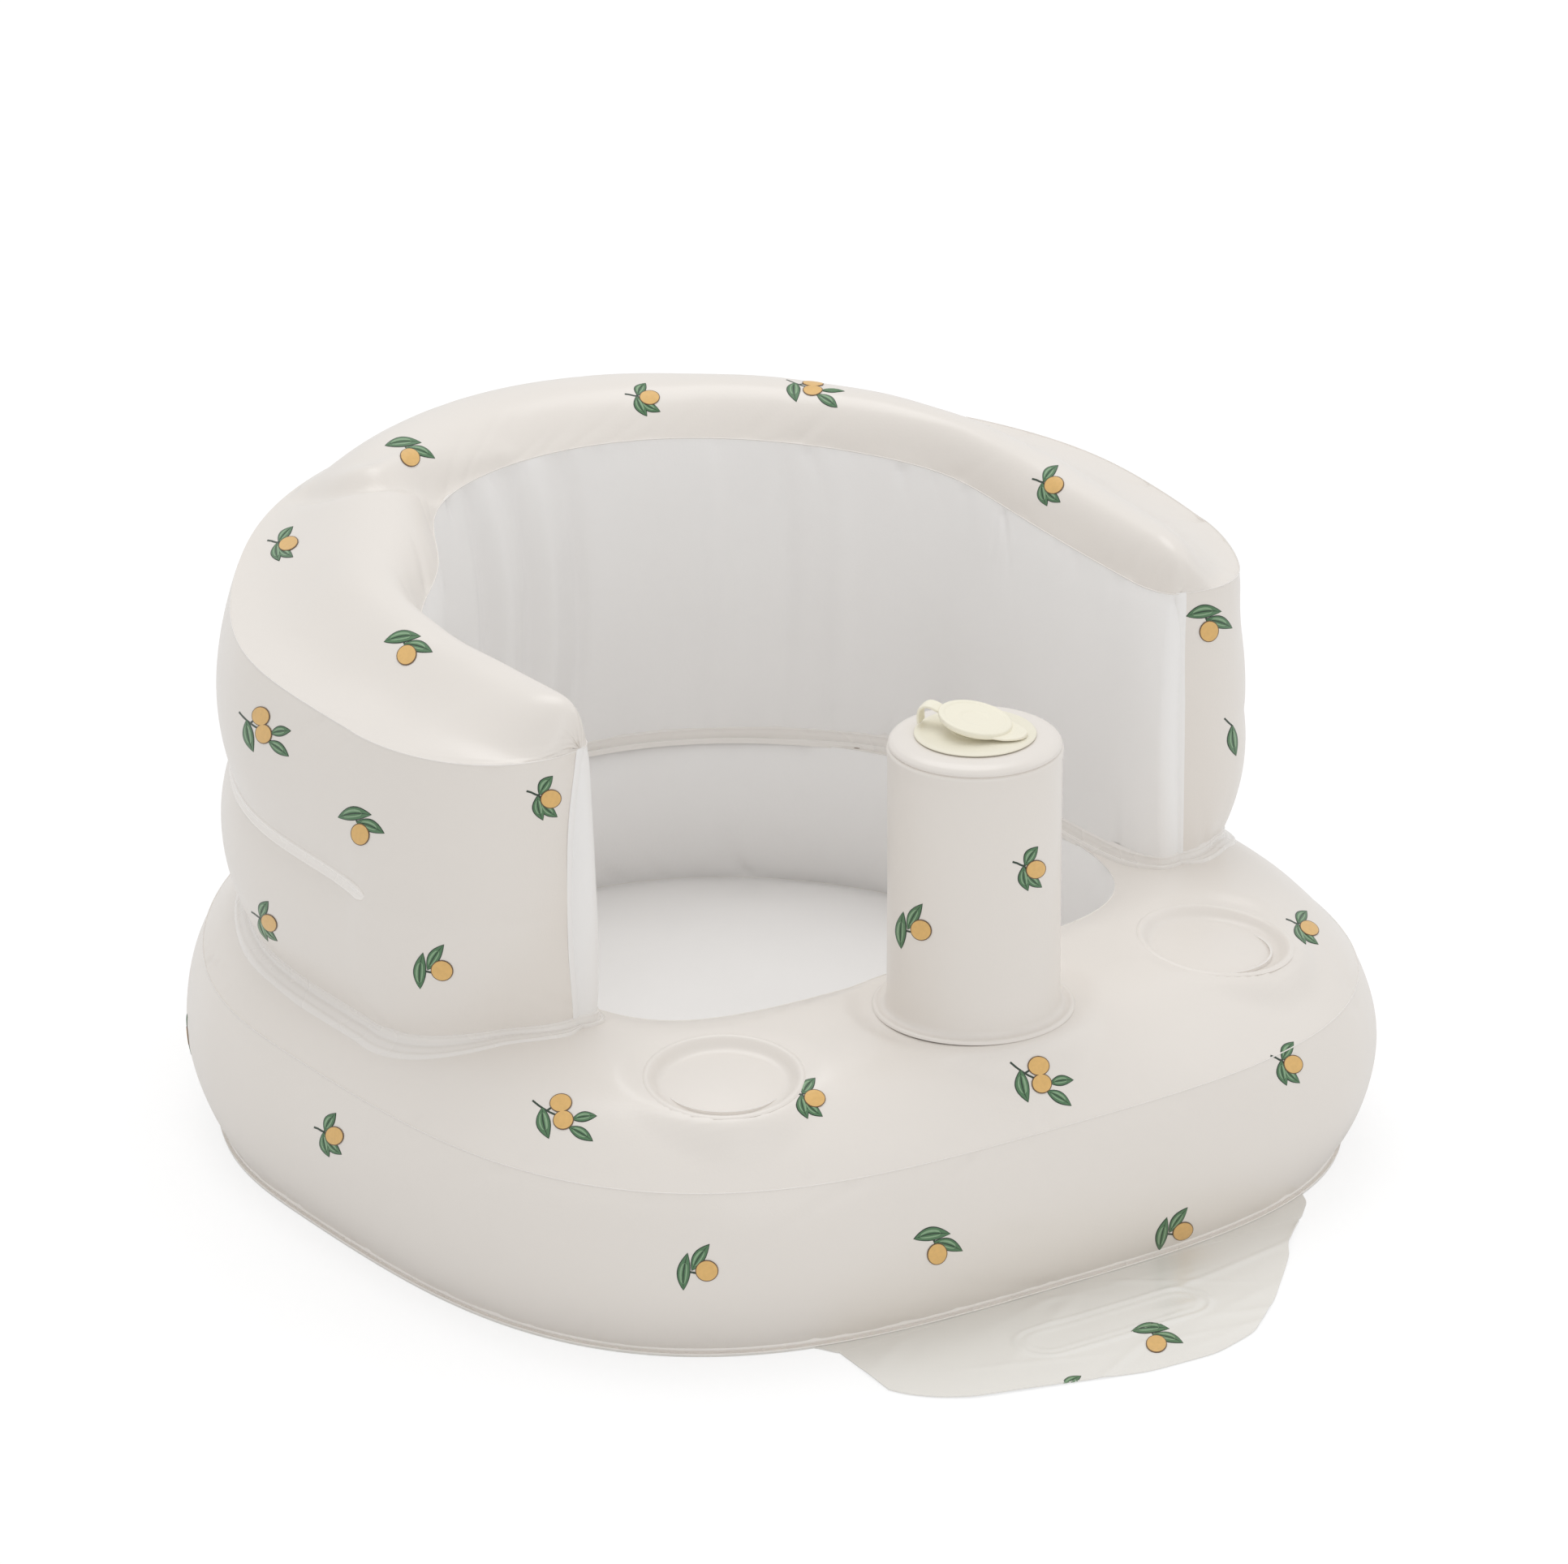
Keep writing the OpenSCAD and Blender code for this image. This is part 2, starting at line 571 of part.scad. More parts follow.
module pump_tube() {
    color(ivory) at_post() rotate_extrude($fn = 96) polygon([
        [post_r - film, tube_z], [post_r + post_strip_w, tube_z], [post_r + post_strip_w, tube_z + film],
        [post_r, tube_z + film], [post_r, post_weld_h], [post_r - film, post_weld_h]
    ]);
}

// Profile of the post's top: a rounded shoulder, then a low dome, at a given distance inside
function post_top_line(inside) = concat(
    [for (a = [0 : 15 : 90])
        [post_r - inside - post_shoulder * (1 - cos(a)),
         post_weld_h + (post_top_rise - inside) * sin(a)]],
    [[inlet_neck_r + seat_gap, post_weld_h + post_top_rise - inside]]);
inlet_neck_r = inlet_bore_r + neck_wall;

module pump_top() {
    color(ivory) at_post() rotate_extrude($fn = 96)
        polygon(concat(post_top_line(0), reversed(post_top_line(film))));
}

foam_foot_h = tube_z + flange_t + seat_gap;
module pump_foam_core() {
    top = post_weld_h + post_top_rise - film - 2 * seat_gap;
    color(foam_grey) at_post() translate([0, 0, foam_foot_h]) difference() {
        cylinder(r = foam_r, h = top - foam_foot_h, $fn = 64);
        translate([0, 0, -1]) cylinder(r = foam_bore_r, h = top - foam_foot_h + 2, $fn = 48);
    }
}

// ---- Plug valves: soft flange with a neck, and a cap with a plug, a strap and a finger tab ----
// Both are drawn with the flange's foot at z = 0 and the finger tab towards +X
module valve_body(flange_r, bore_r) {
    neck_r = bore_r + neck_wall;
    rotate_extrude($fn = 72) polygon([
        [bore_r, -neck_len], [neck_r, -neck_len], [neck_r, 0], [flange_r, 0],
        [flange_r, flange_t * 0.4], [flange_r - flange_t, flange_t], [bore_r, flange_t]
    ]);
}

function strap_foot_x(flange_r) = -(flange_r - strap_t);
module valve_cap(flange_r, bore_r, cap_r, cap_lift, tab) {
    plug_r = bore_r - plug_gap;
    under = flange_t + cap_lift;
    foot_x = strap_foot_x(flange_r);
    foot = flange_t + seat_gap + strap_t / 2;
    arch_end = -cap_r + strap_t;
    arch_r = (arch_end - foot_x) / 2;
    arch_z = under + cap_t - strap_t / 2;
    rotate_extrude($fn = 72) polygon([
        [0, -neck_len * 0.3], [plug_r * 0.8, -neck_len * 0.3], [plug_r, 0.5], [plug_r, under],
        [cap_r - 0.8, under], [cap_r, under + 0.8], [cap_r, under + cap_t - 0.8],
        [cap_r - 0.8, under + cap_t], [plug_r, under + cap_t], [plug_r - 1, under + cap_t + 0.6],
        [0, under + cap_t + 0.6]
    ]);
    translate([0, 0, under]) linear_extrude(cap_t * 0.7) polygon(concat(
        [for (a = [-60 : 15 : 60]) [tab - cap_r * 0.45 + cap_r * 0.45 * cos(a), cap_r * 0.45 * sin(a)]],
        [for (s = [1, -1]) [0, s * cap_r * 0.8]]));
    // The strap: up from its foot, over in a half ring and down on the cap's edge
    rotate([90, 0, 0]) translate([0, 0, -strap_w / 2]) linear_extrude(strap_w) {
        translate([foot_x, foot]) circle(d = strap_t, $fn = 24);
        translate([foot_x - strap_t / 2, foot]) square([strap_t, arch_z - foot]);
        translate([foot_x + arch_r, arch_z]) intersection() {
            difference() {
                circle(r = arch_r + strap_t / 2, $fn = 48);
                circle(r = arch_r - strap_t / 2, $fn = 48);
            }
            translate([-2 * arch_r, 0]) square([4 * arch_r, 2 * arch_r]);
        }
    }
}

module inlet_place() at_post() translate([0, 0, post_weld_h + post_top_rise + seat_gap])
    rotate([0, 0, inlet_turn]) children();

module pump_inlet_valve() {
    color(cream) inlet_place() valve_body(inlet_flange_r, inlet_bore_r);
}

module pump_inlet_cap() {
    color(cream) inlet_place()
        valve_cap(inlet_flange_r, inlet_bore_r, inlet_cap_r, inlet_cap_lift, inlet_tab);
}

// ---- Check valve in the post's foot ----
check_neck_r = check_bore_r + check_wall;
module check_valve_seat() {
    color(cream) at_post() translate([0, 0, tube_z]) rotate_extrude($fn = 64) polygon([
        [check_bore_r, -check_len], [check_neck_r, -check_len], [check_neck_r, 0],
        [check_flange_r, 0], [check_flange_r, flange_t], [check_bore_r, flange_t]
    ]);
}

check_flap_t = 0.8;
check_flap_z = tube_z - check_len - seat_gap - check_flap_t;
module check_valve_flap() {
    color(cream) at_post() translate([0, 0, check_flap_z])
        cylinder(r = check_neck_r, h = check_flap_t, $fn = 48);
}

// ---- Air release valve on the back of the backrest ----
release_neck_r = release_bore_r + neck_wall;
// The valve sits on the fullest part of the lower tier, between two of its lines of points
release_lines = [lower_point(half_cols, 0.5), lower_point(half_cols, 0.75)];
release_z = (release_lines[0].z + release_lines[1].z) / 2;
release_y = max(release_lines[0].y, release_lines[1].y) + seat_gap;
module release_place()
    translate([0, release_y, release_z]) rotate([-90, 0, 0]) rotate([0, 0, 90]) children();

module air_release_valve() {
    color(cream) release_place() valve_body(release_flange_r, release_bore_r);
}

module air_release_cap() {
    color(cream) release_place()
        valve_cap(release_flange_r, release_bore_r, release_cap_r, release_cap_lift, release_tab);
}

// ---- Front flap ----
flap_y = -(base_front + rim_w + seat_gap);
flap_steps = 12;
function flap_left(v) = -flap_left_w + flap_left_cut * pow(clamp01((v - 0.45) / 0.55), 2.6);
function flap_right(v) = flap_right_w - flap_right_cut * pow(v, 1.25);
module oval(half_l, half_w) {
    polygon(concat([for (a = [-90 : 15 : 90]) [half_l - half_w + half_w * cos(a), half_w * sin(a)]],
                   [for (a = [90 : 15 : 270]) [-half_l + half_w + half_w * cos(a), half_w * sin(a)]]));
}

module front_flap() {
    shares = [for (k = [0 : flap_steps]) k / flap_steps];
    color(ivory) {
        linear_extrude(film) polygon(concat(
            [for (v = shares) [flap_left(v), flap_y - flap_len * v]],
            [for (v = reversed(shares)) [flap_right(v), flap_y - flap_len * v]]));
        translate([0, flap_y - flap_len / 2, 0]) linear_extrude(film * 1.5) difference() {
            oval(oval_half_l, oval_half_w);
            oval(oval_half_l - oval_bead, oval_half_w - oval_bead);
        }
    }
}

base_bottom_sheet();
base_rim_weld();
base_side_band();
base_top_panel();
seat_well_wall();
seat_panel();
dimple_cup_left();
dimple_cup_right();
dimple_tie_left();
dimple_tie_right();
backrest_outer_panel();
backrest_inner_panel();
backrest_top_panel();
backrest_foot_weld();
backrest_crease_weld();
backrest_tie_band();
pump_tube();
pump_top();
pump_foam_core();
pump_inlet_valve();
pump_inlet_cap();
check_valve_seat();
check_valve_flap();
air_release_valve();
air_release_cap();
front_flap();
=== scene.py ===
"""Inflatable floor seat for a baby, dressed as welded and printed film.

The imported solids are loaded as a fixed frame. Each operator makes one group of pieces on it:
the swelling film panels, the welds, the pump post, the plug valves, the flap and the print.
Shape functions work in millimetres, in the seat's own frame: the origin lies on the floor under
the middle of the base, -Y is the front and +Z is up. Meshes are made in metres.
"""

from collections import namedtuple
from contextlib import contextmanager

import bmesh
import bpy
import numpy as np
from bpy.props import FloatProperty, FloatVectorProperty, IntProperty, PointerProperty
from mathutils import Matrix, Vector
from mathutils.bvhtree import BVHTree


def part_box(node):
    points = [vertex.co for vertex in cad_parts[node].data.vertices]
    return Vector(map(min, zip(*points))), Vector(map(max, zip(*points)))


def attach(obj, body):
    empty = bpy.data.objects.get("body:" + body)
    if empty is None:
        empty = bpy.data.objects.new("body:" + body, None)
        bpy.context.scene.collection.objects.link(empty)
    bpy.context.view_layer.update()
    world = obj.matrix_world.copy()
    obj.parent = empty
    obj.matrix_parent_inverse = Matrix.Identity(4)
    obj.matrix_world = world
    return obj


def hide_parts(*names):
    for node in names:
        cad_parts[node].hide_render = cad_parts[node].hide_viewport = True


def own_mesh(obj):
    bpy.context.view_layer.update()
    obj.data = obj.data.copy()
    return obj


bl_info = {
    "name": "Inflatable floor seat",
    "version": (1, 0, 0),
    "blender": (4, 5, 0),
    "location": "3D View > Sidebar > Floor seat",
    "description": "Makes the film panels, welds, pump, valves, flap and print of an inflatable floor seat",
    "category": "Object",
}

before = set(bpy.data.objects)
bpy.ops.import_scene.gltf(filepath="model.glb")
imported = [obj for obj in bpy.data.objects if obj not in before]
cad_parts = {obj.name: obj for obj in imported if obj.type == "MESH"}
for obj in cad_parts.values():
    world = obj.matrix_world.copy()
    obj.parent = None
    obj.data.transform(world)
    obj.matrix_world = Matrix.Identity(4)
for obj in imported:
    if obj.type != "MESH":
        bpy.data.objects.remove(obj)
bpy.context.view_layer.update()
MM = 0.001


# ---- Sizes and colours that a user would change ----
def colour_prop(name, description, default):
    return FloatVectorProperty(
        name=name, description=description, default=default, subtype="COLOR", size=3, min=0.0, max=1.0)


def length_prop(name, description, default):
    return FloatProperty(
        name=name, description=description, default=default, unit="LENGTH", subtype="DISTANCE")


def power_prop(name, description, default):
    return FloatProperty(name=name, description=description, default=default, unit="POWER")


class FilmLooks(bpy.types.PropertyGroup):
    """Thickness, creasing and colours of the welded film"""

    thickness: length_prop("Thickness", "Thickness of the film panels", 0.0008)
    pucker_depth: length_prop("Pucker depth", "Depth of the small folds beside a weld", 0.0005)
    pucker_reach: length_prop("Pucker reach", "How far a small fold runs from its weld", 0.009)
    wave_height: length_prop("Wave height", "Height of the broad, soft waves of the inflated film", 0.00035)
    printed: colour_prop("Printed film", "Colour of the warm ivory film", (0.80, 0.755, 0.705))
    # The plain film is whiter than the printed film partly as its own unprinted colour and partly as painted
    # light: it is raised to make up for the dimmer light on the seat side.
    plain: colour_prop("Plain film", "Colour of the film on the seat side", (0.88, 0.865, 0.85))
    weld: colour_prop("Weld", "Colour of the welded strips", (0.82, 0.785, 0.745))


class PrintLooks(bpy.types.PropertyGroup):
    """Sizes and colours of the sprigs printed on the film"""

    scale: FloatProperty(name="Scale", description="Size of a sprig", default=1.0, min=0.5, max=2.0)
    spacing: length_prop("Spacing", "Smallest distance between two sprigs", 0.078)
    leaf: colour_prop("Leaf", "Green of the leaves", (0.072, 0.165, 0.078))
    leaf_light: colour_prop("Leaf light", "Pale green along the middle of a leaf", (0.21, 0.34, 0.20))
    leaf_line: colour_prop("Leaf line", "Dark green round the leaves and of the stems", (0.018, 0.035, 0.022))
    fruit: colour_prop("Fruit", "Amber of the fruit", (0.74, 0.46, 0.16))
    fruit_line: colour_prop("Fruit line", "Brown round the fruit", (0.12, 0.07, 0.035))
    seed: IntProperty(name="Seed", description="Layout of the sprigs on the far side", default=7, min=0)


class ValveLooks(bpy.types.PropertyGroup):
    """Sizes and colour of the soft plug valves"""

    colour: colour_prop("Colour", "Cream of the soft valves", (0.87, 0.83, 0.69))
    rim_height: length_prop("Rim height", "Height of the raised rim round a cap", 0.0006)
    tab_droop: length_prop("Tab droop", "How far the finger tab hangs down", 0.0005)


class StageLooks(bpy.types.PropertyGroup):
    """Light and floor"""

    key: power_prop("Key light", "Power of the large light in front", 7.0)
    top: power_prop("Top light", "Power of the light above and behind", 22.0)
    fill: power_prop("Fill light", "Power of the light at the side", 4.0)
    sky: FloatProperty(
        name="Sky", description="Strength of the even light from all round", default=0.78, min=0.0)


# ---- Small helpers ----
def mix(a, b, k):
    return a + (b - a) * k


def smooth(k):
    c = np.clip(k, 0.0, 1.0)
    return c * c * (3.0 - 2.0 * c)


def swell(v):
    return 4.0 * v * (1.0 - v)


def gauss(x):
    return np.exp(-x * x)


def shares(count, start=0.0, end=1.0):
    """Evenly spaced shares as a column, one for each line of a grid."""
    return np.linspace(start, end, count)[:, None]


def soft_line(points, count, passes):
    """Evenly spaced points along a line, with its corners rounded."""
    points = np.array(points, float)
    run = np.concatenate([[0.0], np.cumsum(np.linalg.norm(np.diff(points, axis=0), axis=1))])
    at = np.linspace(0.0, run[-1], count)
    line = np.stack([np.interp(at, run, points[:, i]) for i in range(points.shape[1])], -1)
    for _ in range(passes):
        line[1:-1] = 0.5 * line[1:-1] + 0.25 * (line[:-2] + line[2:])
    return line


# ---- Outlines of the base and of the seat well, in polar form ----
FILM = 1.0
SEAT_GAP = 0.3
# half width, reach to the front and to the back, power of the outline in front and at the back
BASE_OUTLINE = (238.0, 252.0, 238.0, 3.2, 2.0)
WELL_OUTLINE = (147.0, 138.0, 158.0, 4.5, 2.0)
BAND_H, BAND_LEAN, BAND_FULL = 83.0, 8.4, 11.7
CROWN_H, CROWN_REACH, CROWN_POWER = 118.0, 75.0, 2.6
WELL_DROP, WELL_ROLL, WELL_FULL = 5.0, 24.0, 7.0
SEAT_EDGE_H, SEAT_CROWN = 42.0, 16.0
POST = np.array([0.0, -187.5])
POST_FOOT_H, POST_WELD_H, PRESS_TRAVEL = 115.0, 241.6, 45.0
TUBE_FOOT_H = POST_FOOT_H + SEAT_GAP + 0.1
DIMPLES = {"left": np.array([-134.0, -187.0]), "right": np.array([134.0, -187.0])}
DIMPLE_R, DIMPLE_H, DIMPLE_SLOPE = 29.0, 113.5, 0.12
# radii of the flat places under a dimple cup and under the post, and the slope round them
DIMPLE_PATCH_R, POST_PATCH_R, PATCH_SLOPE = DIMPLE_R + 7.0, 49.0, 12.0


def outline_r(turn, half_w, front, back, sq_front, sq_back):
    """Distance from the middle to an outline that is squarish in front and rounder at the back."""
    share = 1.0 / (1.0 + np.exp(-6.0 * np.sin(turn)))
    n = mix(sq_front, sq_back, share)
    b = mix(front, back, share)
    return ((np.abs(np.cos(turn)) / half_w) ** n + (np.abs(np.sin(turn)) / b) ** n) ** (-1.0 / n)


def moved_outline_r(turn, outline, out):
    return outline_r(turn, *[size + out for size in outline[:3]], *outline[3:])


def base_r(turn, out=0.0):
    return moved_outline_r(turn, BASE_OUTLINE, out)


def well_r(turn, out=0.0):
    return moved_outline_r(turn, WELL_OUTLINE, out)


def crown_z(x, y):
    """Height of the top panel before anything is welded on it."""
    turn, r = np.arctan2(y, x), np.hypot(x, y)
    u = np.clip(1.0 - (base_r(turn, BAND_LEAN) - r) / CROWN_REACH, 0.0, 1.0)
    near_well = np.clip(1.0 - (r - well_r(turn)) / WELL_ROLL, 0.0, 1.0)
    return mix(BAND_H, CROWN_H, 1.0 - u**CROWN_POWER) - WELL_DROP * near_well**2


def patch(z, x, y, at, r_in, plane):
    """Turns the surface into a plane round the point at, with a soft slope outside r_in."""
    return mix(plane, z, smooth((np.hypot(x - at[0], y - at[1]) - r_in) / PATCH_SLOPE))


def dimple_plane(x, y, at):
    out = at / np.linalg.norm(at)
    return DIMPLE_H - DIMPLE_SLOPE * ((x - at[0]) * out[0] + (y - at[1]) * out[1])


def top_z(x, y):
    z = crown_z(x, y)
    for at in DIMPLES.values():
        z = patch(z, x, y, at, DIMPLE_PATCH_R, dimple_plane(x, y, at))
    return patch(z, x, y, POST, POST_PATCH_R, POST_FOOT_H)


def around(count):
    return np.linspace(-0.5 * np.pi, 1.5 * np.pi, count, endpoint=False)


def at_turn(turn, r, z):
    """Points in polar form as an array of rows and columns of x, y, z."""
    shape = np.broadcast(turn, r, z).shape
    r, z = np.broadcast_to(r, shape), np.broadcast_to(z, shape)
    return np.stack([r * np.cos(turn), r * np.sin(turn), z], axis=-1)


def on_top(turn, r):
    """Points on the base's top, in polar form."""
    return at_turn(turn, r, top_z(r * np.cos(turn), r * np.sin(turn)))


def side_band(turn, v, stand=0.0):
    """The base's side film: v is 0 at its foot and 1 at its top weld."""
    return at_turn(turn, base_r(turn, BAND_LEAN * v + BAND_FULL * swell(v) + stand), mix(FILM, BAND_H, v))


# ---- Outline of the backrest ----
# A place on it is a column number: 0 at the right front weld, 23 at the middle of the back and
# 46 at the left front weld on the outside, then back along the inside to 92, the start again.
NOSE_COLS, WALL_COLS = 8, 15
# columns beside a front weld over which the swelling grows, and over which the outline keeps its corner
WELD_COLS, CORNER_COLS = 3.0, 1.5
OUTLINE_STEPS = 40
HALF, COLS = NOSE_COLS + WALL_COLS, 2 * (NOSE_COLS + WALL_COLS)
BACK_INSET, ARM_W, BACK_W = 4.0, 78.0, 70.0
ARM_FRONT, NOSE_LEN, NOSE_HALF_W, WELD_TURN = 115.0, 75.0, 55.0, np.radians(13.0)
ARM_H, RISE_OUT, RISE_IN = 251.0, 10.0, 14.0
TOP_FULL, ARM_TOP_FULL, TOP_LEAN, TOP_POWER, SPAN_POWER = 21.0, 23.0, 2.0, 2.4, 0.9
CREASE_H, CREASE_IN, OUTER_FULL, FOOT_IN = 175.0, 2.0, 7.0, 10.0
# shares of the outer panel's fullness that are left on the noses, below and above the crease
NOSE_FULL_LOW, NOSE_FULL_HIGH = 0.5, 0.3
INNER_FULL, INNER_FOOT_OUT, FOOT_LIFT = 7.0, 6.0, 0.7

BACK_HALF_W = BASE_OUTLINE[0] - BACK_INSET
NOSE = np.array([BACK_HALF_W - NOSE_HALF_W, -(ARM_FRONT - NOSE_LEN)])
FRONT_WELD = NOSE - np.array([NOSE_HALF_W * np.sin(WELD_TURN), NOSE_LEN * np.cos(WELD_TURN)])
INNER_HALF_W = BACK_HALF_W - ARM_W
INNER_NOSE = np.array([FRONT_WELD[0] - INNER_HALF_W, 23.0])
INNER_WALL_Y = FRONT_WELD[1] + INNER_NOSE[1]
INNER_OUTLINE = (INNER_HALF_W, ARM_FRONT + NOSE_LEN, BASE_OUTLINE[2] - BACK_INSET - BACK_W, 8.0, 2.0)


def half_outline(c, a0, a1, middle, nose_size, wall_start, wall_r):
    """Nose as part of an ellipse up to column NOSE_COLS, then the wall in polar form."""
    a = mix(a0, a1, np.minimum(c / NOSE_COLS, 1.0))
    phi = mix(wall_start, 0.5 * np.pi, np.clip((c - NOSE_COLS) / WALL_COLS, 0.0, 1.0))
    nose = np.stack([middle[0] + nose_size[0] * np.cos(a), middle[1] + nose_size[1] * np.sin(a)], -1)
    r = wall_r(phi)
    wall = np.stack([r * np.cos(phi), r * np.sin(phi)], -1)
    return np.where((c < NOSE_COLS)[..., None], nose, wall)


def outer_half(c):
    return half_outline(
        c, -0.5 * np.pi - WELD_TURN, 0.0, NOSE, (NOSE_HALF_W, NOSE_LEN),
        np.arctan2(NOSE[1], BACK_HALF_W), lambda phi: base_r(phi, -BACK_INSET))


def inner_half(c):
    return half_outline(
        c, -0.5 * np.pi, -np.pi, (FRONT_WELD[0], INNER_WALL_Y), INNER_NOSE,
        np.arctan2(INNER_WALL_Y, INNER_HALF_W), lambda phi: outline_r(phi, *INNER_OUTLINE))


def outline_raw(k):
    k = np.asarray(k, float) % (2 * COLS)
    c = np.where(k <= COLS, k, 2 * COLS - k)
    side = np.where(c <= HALF, 1.0, -1.0)
    c = np.minimum(c, COLS - c)
    p = np.where((k <= COLS)[..., None], outer_half(c), inner_half(c))
    return p * np.stack([side, np.ones_like(side)], -1)


def ring_softened(points):
    """Each point of a closed line drawn half way to its two neighbours."""
    return 0.5 * points + 0.25 * (np.roll(points, 1, 0) + np.roll(points, -1, 0))


def outline_table():
    """The closed outline at fine steps, softened where nose and wall meet, with outward directions."""
    k = np.arange(2 * COLS * OUTLINE_STEPS) / OUTLINE_STEPS
    p = outline_raw(k)
    soft = p.copy()
    for _ in range(OUTLINE_STEPS):
        soft = ring_softened(soft)
    from_weld = np.minimum(np.abs(k % COLS), COLS - np.abs(k % COLS))
    keep = np.clip(from_weld / CORNER_COLS, 0.0, 1.0)[:, None]
    p = mix(p, soft, keep)
    d = np.roll(p, -1, 0) - np.roll(p, 1, 0)
    n = np.stack([d[:, 1], -d[:, 0]], -1)
    n /= np.linalg.norm(n, axis=1, keepdims=True)
    for _ in range(OUTLINE_STEPS // 2):
        n = mix(n, ring_softened(n), keep)
    return k, p, n / np.linalg.norm(n, axis=1, keepdims=True)


OUTLINE_K, OUTLINE_P, OUTLINE_N = outline_table()


def on_outline(k, table):
    k = np.asarray(k, float) % (2 * COLS)
    ks = np.append(OUTLINE_K, 2 * COLS)
    return np.stack([np.interp(k, ks, np.append(table[:, i], table[0, i])) for i in (0, 1)], -1)


# Where the inflated film stands off its even shape: place, reach of the swelling and its shift
UNEVEN = (
    ((-128.0, 95.0, 258.0), (58.0, 58.0, 75.0), (22.0, -7.0, 0.0)),
    ((-118.0, 62.0, 250.0), (26.0, 30.0, 60.0), (9.0, -6.0, 0.0)),
    ((-160.0, -108.0, 262.0), (34.0, 60.0, 34.0), (6.5, 0.0, 0.0)),
    ((-146.0, -96.0, 185.0), (12.0, 50.0, 30.0), (-3.0, 0.0, 0.0)),
    ((-160.0, -108.0, 118.0), (30.0, 60.0, 28.0), (3.0, 0.0, 0.0)),
    ((234.0, -70.0, 205.0), (34.0, 90.0, 110.0), (-2.8, 0.0, 0.0)),
    ((232.0, -95.0, 238.0), (36.0, 60.0, 34.0), (-4.0, 0.0, -5.0)),
)


def uneven(p):
    out = np.zeros_like(p)
    for place, reach, shift in UNEVEN:
        near = np.exp(-np.sum(((p - place) / np.array(reach)) ** 2, -1))
        out += near[..., None] * np.array(shift)
    return out


def moved(k, out, z):
    """Points at columns k, moved outwards by out, at height z, on the uneven film."""
    k, out, z = np.broadcast_arrays(np.asarray(k, float), out, z)
    xy = on_outline(k, OUTLINE_P) + out[..., None] * on_outline(k, OUTLINE_N)
    p = np.concatenate([xy, z[..., None]], -1)
    return p + uneven(p)


def from_end(k):
    k = np.asarray(k, float) % (2 * COLS)
    c = np.where(k <= COLS, k, 2 * COLS - k)
    return np.minimum(c, COLS - c)


def outside(k):
    return np.asarray(k, float) % (2 * COLS) <= COLS


def past_nose(k):
    return smooth(from_end(k) / NOSE_COLS)


def past_weld(k):
    return smooth(from_end(k) / WELD_COLS)


def rise(k):
    return smooth((from_end(k) - NOSE_COLS) / WALL_COLS)


def in_crease(k):
    return smooth((from_end(k) - NOSE_COLS + 1.0) / 2.0)


def weld_z(k):
    return ARM_H + rise(k) * np.where(outside(k), RISE_OUT, RISE_IN)


def weld_line(k):
    """The line on which a side panel meets the top panel."""
    return moved(k, 0.0, weld_z(k))


def foot_out(k):
    return np.where(outside(k), -FOOT_IN, INNER_FOOT_OUT) * past_weld(k)


def foot_z(k, out):
    p = moved(k, out, 0.0)
    return top_z(p[..., 0], p[..., 1]) + FOOT_LIFT


def crease_out(k):
    return mix(foot_out(k) / 2.0 + OUTER_FULL, -CREASE_IN, in_crease(k))


def lower_tier(k, v):
    """The outer panel from its foot, v of 0, to the crease, v of 1."""
    full = OUTER_FULL * past_nose(k) * mix(NOSE_FULL_LOW, 1.0, in_crease(k))
    out = mix(foot_out(k), past_nose(k) * crease_out(k), 1.0 - (1.0 - v) ** 2) + full * swell(v)
    return moved(k, out, mix(foot_z(k, foot_out(k)), CREASE_H, v))


def upper_tier(k, v):
    """The outer panel from the crease, v of 0, to the top weld, v of 1."""
    full = OUTER_FULL * past_nose(k) * mix(NOSE_FULL_HIGH, 1.0, in_crease(k))
    return moved(k, mix(past_nose(k) * crease_out(k), 0.0, v) + full * swell(v), mix(CREASE_H, weld_z(k), v))


def inner_wall(k, v):
    out = mix(foot_out(k), 0.0, v) + INNER_FULL * swell(v) * past_weld(k)
    return moved(k, out, mix(foot_z(k, foot_out(k)), weld_z(k), v))


def top_crown(k, s):
    """The domed top panel: s is 0 at the outer and 1 at the inner weld.

    On the arms its crown leans to the seat.
    """
    a, b = weld_line(k), weld_line(2 * COLS - k)
    span = np.minimum(np.linalg.norm(b - a, axis=-1) / ARM_W, 1.0)
    full = mix(ARM_TOP_FULL, TOP_FULL, rise(k)) * np.sin(0.5 * np.pi * span) ** SPAN_POWER
    lean = TOP_LEAN * past_weld(k) * (1.0 - rise(k))
    rows = mix(a, b, s[..., None])
    rows[..., 2] += full * (1.0 - np.abs(2.0 * s ** (1.0 + lean) - 1.0) ** TOP_POWER)
    return rows


def fine_columns(nose_steps=40, wall_steps=150):
    """Columns from one front weld to the other, closer together on the noses."""
    nose = np.linspace(0.0, NOSE_COLS, nose_steps, endpoint=False)
    wall = np.linspace(NOSE_COLS, HALF, wall_steps, endpoint=False)
    half = np.concatenate([nose, wall])
    return np.concatenate([half, [HALF], COLS - half[::-1]])


# ---- Film: grids of points, small folds beside the welds, and meshes ----
# ranges from which a small fold's width, length and lean are drawn
PUCKER_W, PUCKER_LEN, PUCKER_LEAN = (1.6, 4.5), (0.5, 1.8), (-0.35, 0.35)
# distance from the weld over which a small fold grows to its depth
PUCKER_RISE = 1.2
# the number of soft waves, the ranges of their rate and start, and how near a weld they fade
WAVES, WAVE_RATE, WAVE_START, WAVE_FADE = 7, (0.05, 0.13), (0.0, 6.28), 8.0
